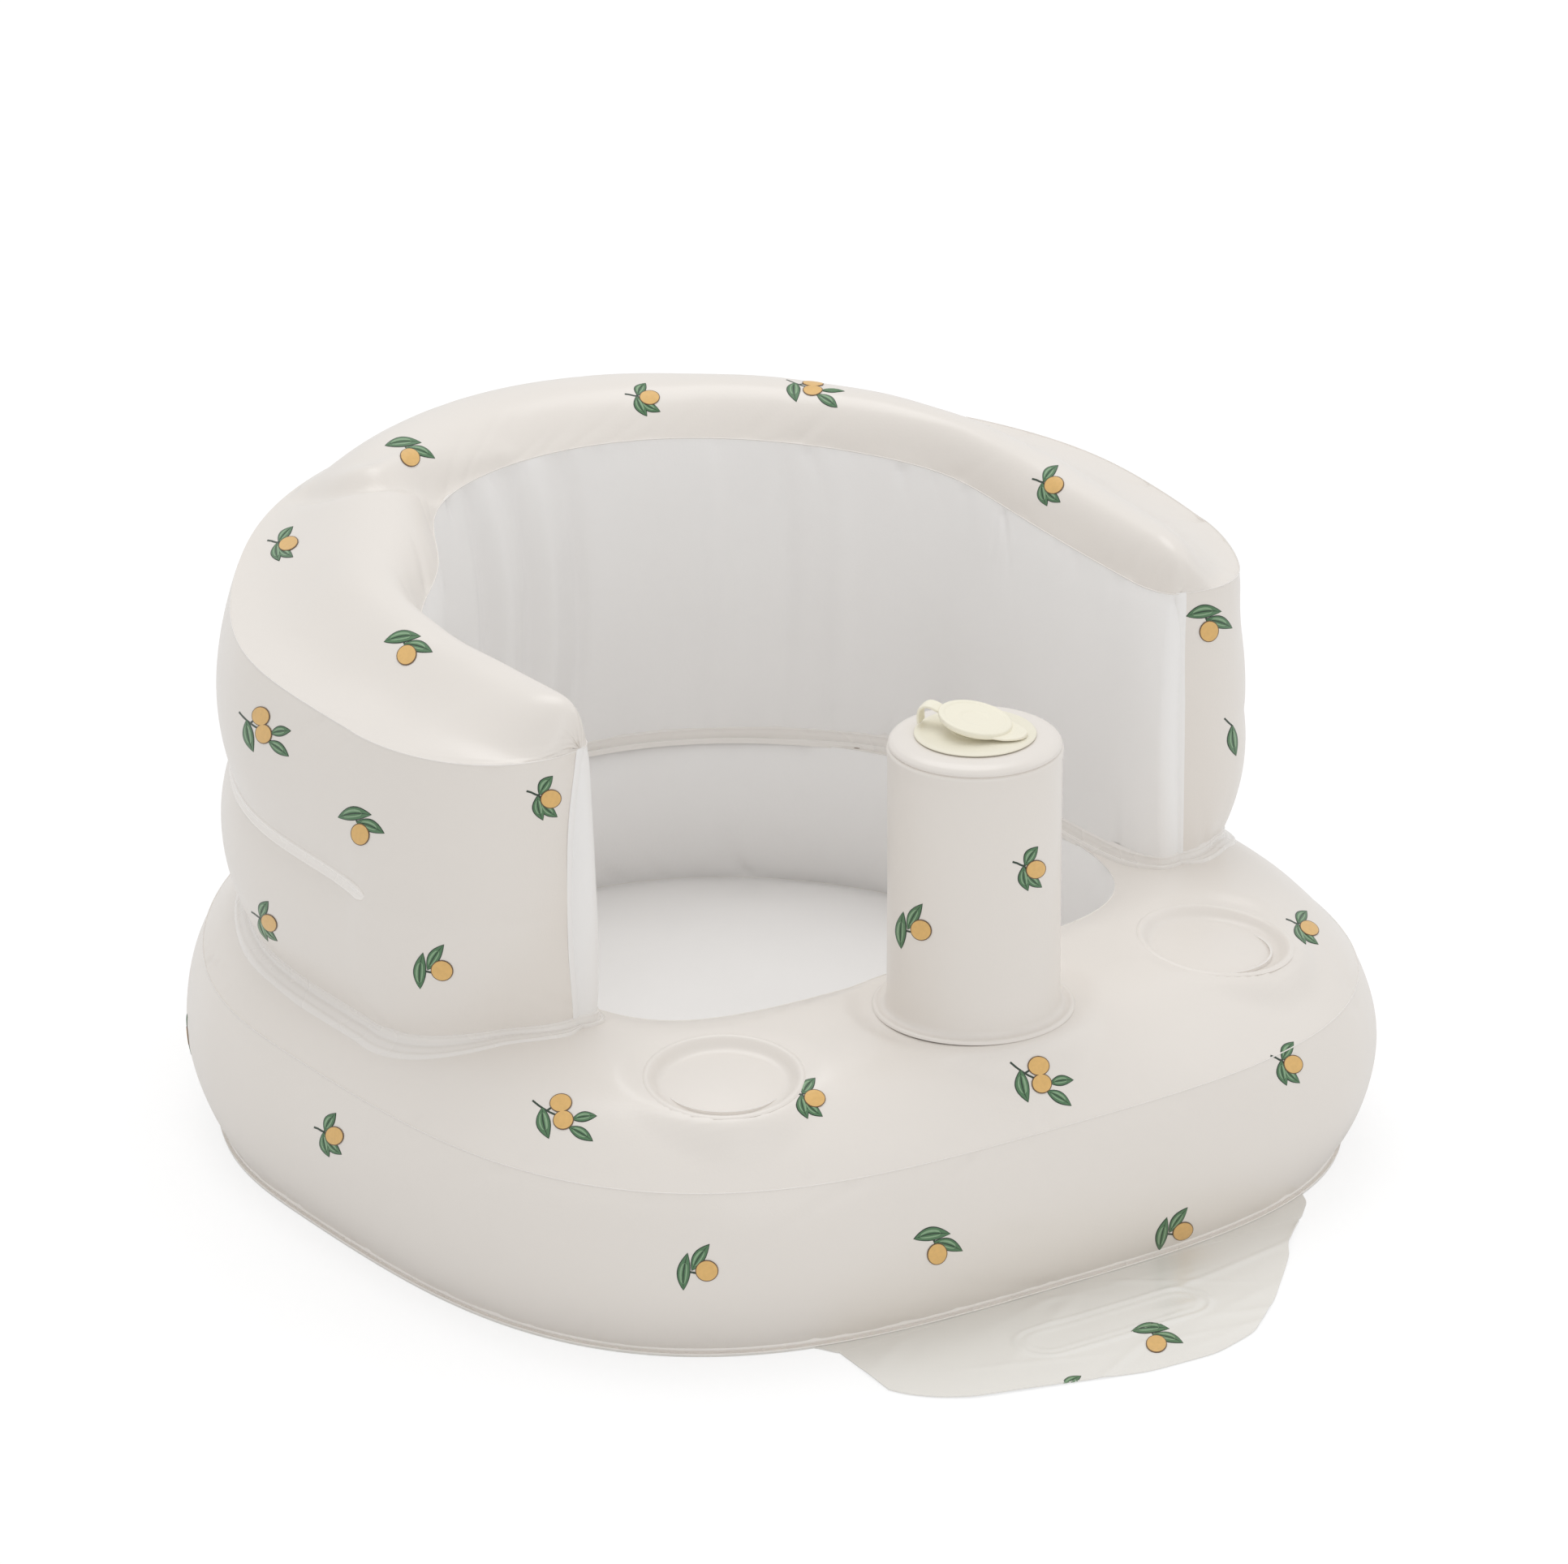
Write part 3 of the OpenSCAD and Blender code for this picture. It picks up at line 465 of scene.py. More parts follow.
# share of a panel's width over which a long fold fades at its welds
FOLD_FADE = 0.15
STRIP_T = 0.0006
SHARP_TURN = np.radians(50.0)


def grid_normals(rows, ring):
    across = np.gradient(rows, axis=0)
    along = (np.roll(rows, -1, 1) - np.roll(rows, 1, 1)) if ring else np.gradient(rows, axis=1)
    n = np.cross(along, across)
    return n / np.maximum(np.linalg.norm(n, axis=-1, keepdims=True), 1e-9)


def run_length(rows, axis):
    """Length along the grid's lines from their first point."""
    step = np.linalg.norm(np.diff(rows, axis=axis), axis=-1)
    zero = np.zeros_like(np.take(step, [0], axis=axis))
    return np.concatenate([zero, np.cumsum(step, axis=axis)], axis=axis)


def puckers(along, away, seed, count):
    """Small folds that run out from a weld: along and away are distances in millimetres."""
    film = bpy.context.scene.seat_film
    depth, reach = film.pucker_depth / MM, film.pucker_reach / MM
    rng = np.random.default_rng(seed)
    total = float(along.max())
    out = np.zeros_like(along)
    for place, width, size, length, lean in zip(
        rng.uniform(0.0, total, count), rng.uniform(*PUCKER_W, count), rng.gamma(2.0, 0.5, count),
        rng.uniform(*PUCKER_LEN, count), rng.uniform(*PUCKER_LEAN, count), strict=True,
    ):
        x = (along - place - lean * away + 0.5 * total) % total - 0.5 * total
        fold = depth * size * gauss(x / width) * np.exp(-away / (reach * length))
        out -= fold * (1.0 - np.exp(-away / PUCKER_RISE))
    return out


def soft_waves(rows, seed):
    """Broad, low waves over the film, from a few seeded sines."""
    rng = np.random.default_rng(seed)
    out = np.zeros(rows.shape[:-1])
    for _ in range(WAVES):
        way = rng.normal(size=3)
        way /= np.linalg.norm(way)
        out += np.sin(rows @ way * rng.uniform(*WAVE_RATE) + rng.uniform(*WAVE_START))
    return out * (bpy.context.scene.seat_film.wave_height / MM) / 3.0


def folded(rows, ring, seed, count, first=True, last=True):
    """The grid with soft waves and with count small folds beside its first and its last line."""
    along, away = run_length(rows, 1), run_length(rows, 0)
    left = away[-1:, :] - away
    out = soft_waves(rows, seed) * (smooth(away / WAVE_FADE) * smooth(left / WAVE_FADE))
    if first:
        out = out + puckers(along, away, seed + 1, count)
    if last:
        out = out + puckers(along, left, seed + 2, count)
    return rows + out[..., None] * grid_normals(rows, ring)


def fold_along(rows, line, depth, width):
    """Presses a soft valley into the grid along a line of x and y; a roll where depth is negative."""
    near = np.full(rows.shape[:-1], np.inf)
    for point in soft_line(line, count=80, passes=50):
        near = np.minimum(near, np.hypot(rows[..., 0] - point[0], rows[..., 1] - point[1]))
    across = shares(len(rows))
    rows = rows.copy()
    press = depth * gauss(near / width) * smooth(across / FOLD_FADE)
    rows[..., 2] -= press * smooth((1.0 - across) / FOLD_FADE)
    return rows


def new_object(name, data):
    obj = bpy.data.objects.new(name, data)
    bpy.context.scene.collection.objects.link(obj)
    return obj


def mesh_object(name, points, edges=(), faces=()):
    """An object with a new mesh; the points are in metres."""
    mesh = bpy.data.meshes.new(name)
    mesh.from_pydata(points, edges, faces)
    return new_object(name, mesh)


@contextmanager
def edited(mesh):
    """What the mesh holds, as a bmesh that is written back at the end."""
    made = bmesh.new()
    made.from_mesh(mesh)
    yield made
    made.to_mesh(mesh)
    made.free()


def surface(name, lines, ring=False):
    """A mesh of quads between lines of points in millimetres; a line of one point is a pole."""
    lines = [np.asarray(l, float) for l in lines]
    start = np.cumsum([0] + [len(l) for l in lines])
    faces = []
    for j in range(len(lines) - 1):
        a, b, n = start[j], start[j + 1], max(len(lines[j]), len(lines[j + 1]))
        pole_a, pole_b = len(lines[j]) == 1, len(lines[j + 1]) == 1
        for i in range(n if ring else n - 1):
            k = (i + 1) % n
            if pole_a:
                faces.append((a, b + k, b + i))
            elif pole_b:
                faces.append((a + i, a + k, b))
            else:
                faces.append((a + i, a + k, b + k, b + i))
    obj = mesh_object(name, np.concatenate(lines) * MM, faces=faces)
    obj.data.shade_smooth()
    return obj


def settled(obj):
    """Turns the evaluated object into a plain mesh and takes its modifiers off."""
    graph = bpy.context.evaluated_depsgraph_get()
    mesh = bpy.data.meshes.new_from_object(obj.evaluated_get(graph))
    old = obj.data
    obj.modifiers.clear()
    obj.data = mesh
    if old.users == 0:
        bpy.data.meshes.remove(old)
    return obj


def thickened(obj, thickness=None):
    """Gives the surface a thickness, that of the film panels where none is named."""
    wall = obj.modifiers.new("Film", "SOLIDIFY")
    wall.thickness = thickness or bpy.context.scene.seat_film.thickness
    wall.offset = -1.0
    settled(obj).data.set_sharp_from_angle(angle=SHARP_TURN)
    return obj


def dressed(obj, material, body, *replaces):
    """Gives a finished piece its material and its body, and hides the solids that it stands for."""
    obj.data.materials.clear()
    obj.data.materials.append(bpy.data.materials[material])
    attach(obj, body)
    if replaces:
        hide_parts(*replaces)
    return obj


def film_strip(name, rows, ring, material, *replaces, thickness=STRIP_T, body="seat"):
    return dressed(thickened(surface(name, rows, ring), thickness), material, body, *replaces)


def film_panel(name, rows, ring, material, *replaces):
    """A panel of an air chamber, tight with air."""
    obj = film_strip(name, rows, ring, material, *replaces, thickness=None)
    return obj


def lathe(name, profile, count, middle=(0.0, 0.0)):
    """Turns a profile of (radius, height) round an upright axis; a radius of 0 is a pole."""
    turn = around(count)
    lines = []
    for r, z in profile:
        if r < 1e-6:
            lines.append([[*middle, z]])
        else:
            ring = at_turn(turn, r, z)
            ring[:, :2] += middle
            lines.append(ring)
    obj = surface(name, lines, ring=True)
    if np.allclose(profile[0], profile[-1]):
        with edited(obj.data) as mesh:
            join_doubles(mesh)
    return obj


def join_doubles(mesh):
    bmesh.ops.remove_doubles(mesh, verts=mesh.verts, dist=1e-7)


def rounded(points, radius, cuts=3):
    """A profile with its inner corners rounded, each by less than half of its shorter side."""
    points = [np.array(p, float) for p in points]
    out = [points[0]]
    for a, b, c in zip(points, points[1:], points[2:], strict=False):
        cut = min(radius, 0.45 * np.linalg.norm(a - b), 0.45 * np.linalg.norm(c - b))
        p = b + (a - b) / np.linalg.norm(a - b) * cut
        q = b + (c - b) / np.linalg.norm(c - b) * cut
        for s in np.linspace(0.0, 1.0, cuts + 1):
            out.append((1 - s) ** 2 * p + 2 * s * (1 - s) * b + s * s * q)
    return out + [points[-1]]


# ---- Node trees ----
def feed(tree, to, inputs):
    """Sets each named input of a node, or links it where its value is another node's output."""
    for key, value in inputs.items():
        if isinstance(value, bpy.types.NodeSocket):
            tree.links.new(value, to.inputs[key])
        else:
            to.inputs[key].default_value = value


def node(tree, kind, inputs=None, **settings):
    made = tree.nodes.new(kind)
    for key, value in settings.items():
        setattr(made, key, value)
    feed(tree, made, inputs or {})
    return made


def group(name, kind, inputs, outputs):
    """A node group of the kind with named sockets: (name, kind of socket, default if it has one)."""
    tree = bpy.data.node_groups.new(name, kind)
    for way, sockets in (("INPUT", inputs), ("OUTPUT", outputs)):
        for label, socket_kind, *default in sockets:
            socket = tree.interface.new_socket(
                name=label, in_out=way, socket_type="NodeSocket" + socket_kind)
            if default:
                socket.default_value = default[0]
    return tree, tree.nodes.new("NodeGroupInput").outputs, tree.nodes.new("NodeGroupOutput")


def film_surface_group():
    """Cloudy tint, uneven gloss and the fine unevenness of soft film."""
    white = (1, 1, 1, 1)
    tree, given, made = group(
        "film surface", "ShaderNodeTree",
        [("Colour", "Color", white), ("Cloud Colour", "Color", white), ("Cloud Scale", "Float", 9.0),
         ("Roughness", "Float", 0.3), ("Ripple Height", "Float", 0.15), ("Grain Height", "Float", 0.02)],
        [("Colour", "Color"), ("Roughness", "Float"), ("Normal", "Vector")],
    )
    place = node(tree, "ShaderNodeTexCoord").outputs["Object"]

    def noise(**values):
        return node(tree, "ShaderNodeTexNoise", {"Vector": place, **values}).outputs["Fac"]

    def bump(distance, strength, height, **more):
        values = {"Distance": distance, "Strength": strength, "Height": height, **more}
        return node(tree, "ShaderNodeBump", values).outputs["Normal"]

    clouds = noise(Scale=given["Cloud Scale"], Detail=3.0, Roughness=0.5)
    tones = {"Factor": clouds, "A": given["Colour"], "B": given["Cloud Colour"]}
    tint = node(tree, "ShaderNodeMix", tones, data_type="RGBA")
    gloss = {0: noise(Scale=34.0, Detail=2.0), 1: 0.10, 2: given["Roughness"]}
    spread = node(tree, "ShaderNodeMath", gloss, operation="MULTIPLY_ADD")
    ripple = bump(0.001, given["Ripple Height"], noise(Scale=26.0, Detail=2.0, Roughness=0.45))
    grain = bump(0.0001, given["Grain Height"], noise(Scale=900.0, Detail=1.0), Normal=ripple)
    feed(tree, made, {"Colour": tint.outputs["Result"], "Roughness": spread.outputs[0], "Normal": grain})


def principled(name):
    material = bpy.data.materials.new(name)
    material.use_nodes = True
    return material, material.node_tree, material.node_tree.nodes["Principled BSDF"]


def film_material(name, colour, cloud, roughness=0.28, ripple=0.5, coat=0.25, grain=0.3):
    material, tree, shader = principled(name)
    values = {"Colour": (*colour, 1.0), "Cloud Colour": (*cloud, 1.0), "Roughness": roughness,
              "Ripple Height": ripple, "Grain Height": grain}
    looks = node(tree, "ShaderNodeGroup", values, node_tree=bpy.data.node_groups["film surface"])
    feed(tree, shader, {
        "Base Color": looks.outputs["Colour"], "Roughness": looks.outputs["Roughness"],
        "Normal": looks.outputs["Normal"], "Coat Weight": coat, "Coat Roughness": 0.22, "IOR": 1.5,
    })
    material.diffuse_color = (*colour, 1.0)


def two_tones(tree, pattern, colour, second):
    """Two colours mixed by a pattern over the object."""
    tones = {"Factor": pattern, "A": (*colour, 1.0), "B": (*second, 1.0)}
    return node(tree, "ShaderNodeMix", tones, data_type="RGBA").outputs["Result"]


def print_material(name, colour, second, scale=900.0):
    """Printing ink: two shades broken up a little, with the film's own gloss."""
    material, tree, shader = principled(name)
    place = node(tree, "ShaderNodeTexCoord").outputs["Object"]
    spots = node(tree, "ShaderNodeTexNoise", {"Vector": place, "Scale": scale, "Detail": 2.0})
    ink = two_tones(tree, spots.outputs["Fac"], colour, second)
    feed(tree, shader, {"Base Color": ink, "Roughness": 0.38})
    material.diffuse_color = (*colour, 1.0)


def foam_material():
    _, tree, shader = principled("open foam")
    place = node(tree, "ShaderNodeTexCoord").outputs["Object"]
    cells = node(tree, "ShaderNodeTexVoronoi", {"Vector": place, "Scale": 700.0}).outputs["Distance"]
    bump = node(tree, "ShaderNodeBump", {"Strength": 0.8, "Distance": 0.0006, "Height": cells})
    # The cells are darker in their middles, where the bump sinks them: painted shade in the pores.
    tint = two_tones(tree, cells, (0.42, 0.41, 0.39), (0.62, 0.61, 0.58))
    feed(tree, shader, {"Normal": bump.outputs["Normal"], "Base Color": tint, "Roughness": 0.9})


def shade(colour, factor):
    return tuple(min(1.0, c * factor) for c in colour)


def make_materials():
    scene = bpy.context.scene
    film, ink, valve = scene.seat_film, scene.seat_print, tuple(scene.seat_valves.colour)
    film_surface_group()
    film_material("printed film", tuple(film.printed), shade(film.printed, 1.03))
    # Seat-side film: its whiter colour is partly its own and partly painted light for the dimmer seat side.
    film_material("plain film", tuple(film.plain), shade(film.plain, 1.03), roughness=0.26)
    film_material("flap film", (0.84, 0.825, 0.78), (0.86, 0.84, 0.80), roughness=0.3, ripple=0.9)
    film_material("weld", tuple(film.weld), shade(film.weld, 1.05), roughness=0.22, ripple=0.25)
    # The weld colour made lighter for the crease's and the rim's strips: a painted highlight.
    film_material("light weld", shade(film.weld, 1.1), shade(film.weld, 1.14), roughness=0.22, ripple=0.1)
    soft = {"roughness": 0.4, "ripple": 0.1, "coat": 0.1, "grain": 1.0}
    film_material("soft valve", valve, shade(valve, 1.04), **soft)
    # The flange takes the valve colour made darker: painted shade under the cap.
    film_material("valve flange", shade(valve, 0.94), valve, **soft)
    foam_material()
    print_material("leaf print", tuple(ink.leaf), shade(ink.leaf, 1.35))
    print_material("leaf light print", tuple(ink.leaf_light), shade(ink.leaf_light, 1.3))
    print_material("leaf line print", tuple(ink.leaf_line), shade(ink.leaf_line, 1.8))
    print_material("fruit print", shade(ink.fruit, 0.93), shade(ink.fruit, 1.12), scale=500.0)
    print_material("fruit line print", tuple(ink.fruit_line), shade(ink.fruit_line, 1.6))


def geometry_group(name, inputs):
    """A geometry node group with a geometry in and out, the named inputs and a material."""
    inputs = [("Geometry", "Geometry"), *inputs, ("Material", "Material")]
    return group(name, "GeometryNodeTree", inputs, [("Geometry", "Geometry")])


def finish_tree(tree, given, made, geometry):
    """Every tree ends in Realize Instances and Set Material."""
    real = node(tree, "GeometryNodeRealizeInstances", {"Geometry": geometry})
    values = {"Geometry": real.outputs["Geometry"], "Material": given["Material"]}
    paint = node(tree, "GeometryNodeSetMaterial", values)
    feed(tree, made, {"Geometry": paint.outputs["Geometry"]})
    return tree


def seam_bead_tree():
    """A round bead of film along each line of a mesh of edges."""
    tree, given, made = geometry_group("seam bead", [("Radius", "Float", 0.0005), ("Sides", "Int", 8)])
    line = node(tree, "GeometryNodeMeshToCurve", {"Mesh": given["Geometry"]})
    values = {"Resolution": given["Sides"], "Radius": given["Radius"]}
    ring = node(tree, "GeometryNodeCurvePrimitiveCircle", values)
    sweep = node(tree, "GeometryNodeCurveToMesh", {
        "Curve": line.outputs["Curve"], "Profile Curve": ring.outputs["Curve"], "Fill Caps": True})
    soft = node(tree, "GeometryNodeSetShadeSmooth", {"Geometry": sweep.outputs["Mesh"]})
    return finish_tree(tree, given, made, soft.outputs["Geometry"])


def sprig_tree(kinds):
    """Instances of the motif of each point's kind, laid on the film by rays against the point's facing.

    The length of a point's facing is how far out of the film its rays start.
    """
    motifs = [f"Motif {k}" for k in range(kinds)]
    tree, given, made = geometry_group("sprig print", [
        ("Film", "Object"), *[(name, "Object") for name in motifs],
        ("Scale", "Float", 1.0), ("Lift", "Float", 0.0002),
    ])

    def attribute(name, kind):
        read = node(tree, "GeometryNodeInputNamedAttribute", {"Name": name}, data_type=kind)
        return read.outputs["Attribute"]

    def vector_math(operation, *values, second=1, result="Vector"):
        inputs = dict(zip((0, second), values, strict=False))
        return node(tree, "ShaderNodeVectorMath", inputs, operation=operation).outputs[result]

    def scaled(vector, factor):
        return vector_math("SCALE", vector, factor, second="Scale")

    tilt = attribute("tilt", "FLOAT_VECTOR")
    turned = node(tree, "FunctionNodeEulerToRotation", {"Euler": tilt})
    joined = node(tree, "GeometryNodeJoinGeometry")
    for k, name in enumerate(motifs):
        motif = node(tree, "GeometryNodeObjectInfo", {"Object": given[name]})
        wanted = {"A": attribute("kind", "INT"), "B": k}
        same = node(tree, "FunctionNodeCompare", wanted, data_type="INT", operation="EQUAL")
        put = node(tree, "GeometryNodeInstanceOnPoints", {
            "Points": given["Geometry"], "Selection": same.outputs["Result"],
            "Instance": motif.outputs["Geometry"], "Rotation": turned.outputs["Rotation"],
            "Scale": given["Scale"],
        })
        feed(tree, joined, {"Geometry": put.outputs["Instances"]})
    real = node(tree, "GeometryNodeRealizeInstances", {"Geometry": joined.outputs["Geometry"]})
    facing = attribute("facing", "FLOAT_VECTOR")
    place = node(tree, "GeometryNodeInputPosition").outputs[0]
    film = node(tree, "GeometryNodeObjectInfo", {"Object": given["Film"]})
    ray = node(tree, "GeometryNodeRaycast", {
        "Target Geometry": film.outputs["Geometry"],
        "Source Position": vector_math("ADD", place, facing),
        "Ray Direction": scaled(facing, -1.0),
        "Ray Length": vector_math("LENGTH", scaled(facing, 2.0), result="Value"),
    }).outputs
    missed = node(tree, "FunctionNodeBooleanMath", {0: ray["Is Hit"]}, operation="NOT")
    gone = {"Geometry": real.outputs["Geometry"], "Selection": missed.outputs[0]}
    cut = node(tree, "GeometryNodeDeleteGeometry", gone, domain="POINT")
    lifted = vector_math("ADD", ray["Hit Position"], scaled(ray["Hit Normal"], given["Lift"]))
    laid = {"Geometry": cut.outputs["Geometry"], "Position": lifted}
    lay = node(tree, "GeometryNodeSetPosition", laid)
    return finish_tree(tree, given, made, lay.outputs["Geometry"])


def with_tree(obj, tree, **values):
    """Runs a geometry node tree on obj, with its inputs set by their identifiers, and bakes it."""
    run = obj.modifiers.new(tree.name, "NODES")
    run.node_group = tree
    for item in tree.interface.items_tree:
        if item.item_type == "SOCKET" and item.in_out == "INPUT" and item.name in values:
            run[item.identifier] = values[item.name]
    return settled(obj)


def edge_lines(name, lines):
    """A mesh of edges from (points in millimetres, closed) pairs."""
    points, edges = [], []
    for line, closed in lines:
        first, n = len(points), len(line)
        points += [tuple(np.asarray(p) * MM) for p in line]
        edges += [(first + i, first + (i + 1) % n) for i in range(n if closed else n - 1)]
    return mesh_object(name, points, edges)


# ---- Operators ----
class PieceOperator(bpy.types.Operator):
    """Makes one group of pieces"""

    bl_idname = "floor_seat.piece"
    bl_label = "Piece"
    bl_options = {"REGISTER", "UNDO"}

    def execute(self, context):
        self.make(context.scene)
        return {"FINISHED"}


class MakeBaseFilm(PieceOperator):
    """Makes the swelling side band, the domed top panel and the bottom sheet of the base"""

    bl_idname = "floor_seat.base_film"
    bl_label = "Base film"

    # outline of the sheet's tongue in front, which carries the flap
    tongue = ((-126.0, -241.0), (-118.0, -255.6), (134.6, -255.8), (146.6, -243.6), (152.0, -230.0))
    sheet_h, sheet_out, sheet_rings = 0.95, 2.6, (1.0, 0.97, 0.9, 0.5)
    # how far the hole under a dimple cup is wider than the dimple, and the reach of its drawn edge
    hole_out, edge_reach = 5.4, 5.0

    def make(self, scene):
        self.bottom()
        turn = around(480)[None, :]
        side = folded(side_band(turn, shares(32)), True, seed=11, count=90)
        film_panel("base_side_film", side, True, "printed film", "base_side_band")
        top = on_top(turn, mix(well_r(turn), base_r(turn, BAND_LEAN), shares(46, 1.0, 0.0)))
        obj = surface("base_top_film", folded(top, True, seed=21, count=90), True)
        self.cut_holes(obj)
        dressed(thickened(obj), "printed film", "seat", "base_top_panel")

    def bottom(self):
        turn = around(960)
        line = soft_line(self.tongue, count=400, passes=5)
        from_front = (turn + 1.5 * np.pi) % (2.0 * np.pi) - np.pi
        angle = np.arctan2(line[:, 1], line[:, 0]) + 0.5 * np.pi
        reach = np.interp(from_front, angle, np.hypot(line[:, 0], line[:, 1]), left=0.0, right=0.0)
        edge = np.maximum(base_r(turn, self.sheet_out), reach)
        rings = [at_turn(turn, q * edge, self.sheet_h) for q in self.sheet_rings]
        lines = [*rings, [[0.0, 0.0, self.sheet_h]]]
        film_strip("base_bottom_film", lines, True, "flap film", "base_bottom_sheet", thickness=None)

    def cut_holes(self, obj):
        """Opens the panel under each dimple cup and draws the edge of the hole to a circle."""
        hole_r = (DIMPLE_R + self.hole_out) * MM
        with edited(obj.data) as mesh:
            for at in DIMPLES.values():
                middle = Vector((at[0] * MM, at[1] * MM))
                gone = [f for f in mesh.faces if (f.calc_center_median().xy - middle).length < hole_r]
                bmesh.ops.delete(mesh, geom=gone, context="FACES")
                for vertex in mesh.verts:
                    away = vertex.co.xy - middle
                    if vertex.is_boundary and away.length < hole_r + self.edge_reach * MM:
                        vertex.co.xy = middle + away.normalized() * hole_r


class MakeSeatFilm(PieceOperator):
    """Makes the wall of the seat well and the crowned seat panel"""

    bl_idname = "floor_seat.seat_film"
    bl_label = "Seat film"

    # radius of the seat panel's innermost ring, as a share, and the power of its crown
    inner_ring, crown_power = 0.02, 2.4

    def make(self, scene):
        turn = around(400)[None, :]
        edge = well_r(turn)
        v = shares(22)
        height = mix(on_top(turn, edge)[..., 2], SEAT_EDGE_H, v)
        wall = folded(at_turn(turn, well_r(turn, -WELL_FULL * swell(v)), height), True, seed=31, count=70)
        film_panel("well_wall_film", wall, True, "plain film", "seat_well_wall")
        q = shares(40, 1.0, self.inner_ring)
        seat = at_turn(turn, q * edge, SEAT_EDGE_H + SEAT_CROWN * (1.0 - q**self.crown_power))
        seat = folded(seat, True, seed=41, count=80, last=False)
        lines = [*seat, [[0.0, 0.0, SEAT_EDGE_H + SEAT_CROWN]]]
        film_panel("seat_film", lines, True, "plain film", "seat_panel")


class MakeDimpleCups(PieceOperator):
    """Makes the two round recesses in the base's top"""

    bl_idname = "floor_seat.dimple_cups"
    bl_label = "Dimple cups"

    profile = (
        (36.5, -0.2), (35.4, 0.45), (34.2, 0.5), (33.0, -0.2), (31.6, -1.6), (30.2, -3.0), (28.6, -3.9),
        (26.5, -4.2), (23.0, -4.0), (18.0, -3.6), (10.0, -3.1), (0.0, -2.9),
    )

    def make(self, scene):
        for side, at in DIMPLES.items():
            obj = lathe(f"dimple_cup_{side}_film", rounded(self.profile, 2.0), count=144)
            out = Vector((*at, 0.0)).normalized()
            lean = Matrix.Rotation(np.arctan(DIMPLE_SLOPE), 4, Vector((-out.y, out.x, 0.0)))
            obj.data.transform(Matrix.Translation(Vector((*at, DIMPLE_H)) * MM) @ lean)
            dressed(thickened(obj), "printed film", "seat", f"dimple_cup_{side}")


class MakeBackrestFilm(PieceOperator):
    """Makes the outer, inner and top panels of the backrest"""

    bl_idname = "floor_seat.backrest_film"
    bl_label = "Backrest film"

    # upright folds of the inner panel: column, width in columns and height
    folds = (
        (66.7, 0.26, -4.0), (67.3, 0.28, 3.4), (68.0, 0.22, -3.4), (68.6, 0.26, 3.4), (69.3, 0.24, -3.0),
        (72.5, 0.3, 1.2), (74.0, 0.25, -1.4), (75.2, 0.3, 1.2),
    )
    # how far a fold sways along its height, in columns
    sway, sway_rate = 0.25, 3.0
    # line along which the top buckles on the turn of the left arm, and the valley's depth and width
    buckle = (
        (-118.0, 186.0), (-119.0, 158.0), (-106.0, 139.0), (-76.0, 148.0), (-44.0, 150.0), (-30.0, 152.0))
    valley = (5.5, 7.5)
    # the roll that stands up behind the valley: its shift from it, and its depth and width
    roll_shift, roll = (4.0, 12.0), (-2.5, 8.0)
    # small folds under the left arm's top: height, column, reach in columns, ripples in a column
    gather_h, gather_at, gather_reach, gather_rate = 0.2, 12.2, 0.9, 20.0

    def make(self, scene):
        k = fine_columns()[None, :]
        v = shares(30)
        lower = folded(lower_tier(k, v), False, seed=51, count=50, last=False)
        upper = folded(upper_tier(k, v), False, seed=61, count=50, first=False)
        rows = np.concatenate([lower[:-1], upper])
        film_panel("backrest_outer_film", rows, False, "printed film", "backrest_outer_panel")
        v = shares(50)
        inner_k = 2 * COLS - fine_columns(40, 300)[None, ::-1]
        inner = folded(inner_wall(inner_k, v), False, seed=71, count=70)
        inner = inner + self.ribs(inner_k, v)[..., None] * grid_normals(inner, False)
        film_panel("backrest_inner_film", inner, False, "plain film", "backrest_inner_panel")
        self.top(k)

    def ribs(self, k, v):
        """Upright folds where the inner panel is drawn round the back, and small ones near the left arm."""
        sway = self.sway * np.sin(self.sway_rate * v)
        folds = sum(size * gauss((k - at - sway) / wide) for at, wide, size in self.folds)
        c = from_end(k)
        gather = self.gather_h * gauss((c - self.gather_at) / self.gather_reach)
        gather = gather * np.exp(-(1.0 - v) * 6.0) * smooth((1.0 - v) / 0.10) * np.sin(self.gather_rate * c)
        return folds * swell(v) ** 0.6 + gather

    def top(self, k):
        rows = top_crown(k, 1.0 - (1.0 - shares(52)) ** 1.5)
        rows[:, 1:-1] = folded(rows[:, 1:-1], False, seed=81, count=70)
        rows = fold_along(rows, self.buckle, *self.valley)
        rows = fold_along(rows, np.add(self.buckle, self.roll_shift), *self.roll)
        film_panel("backrest_top_film", rows, False, "printed film", "backrest_top_panel")


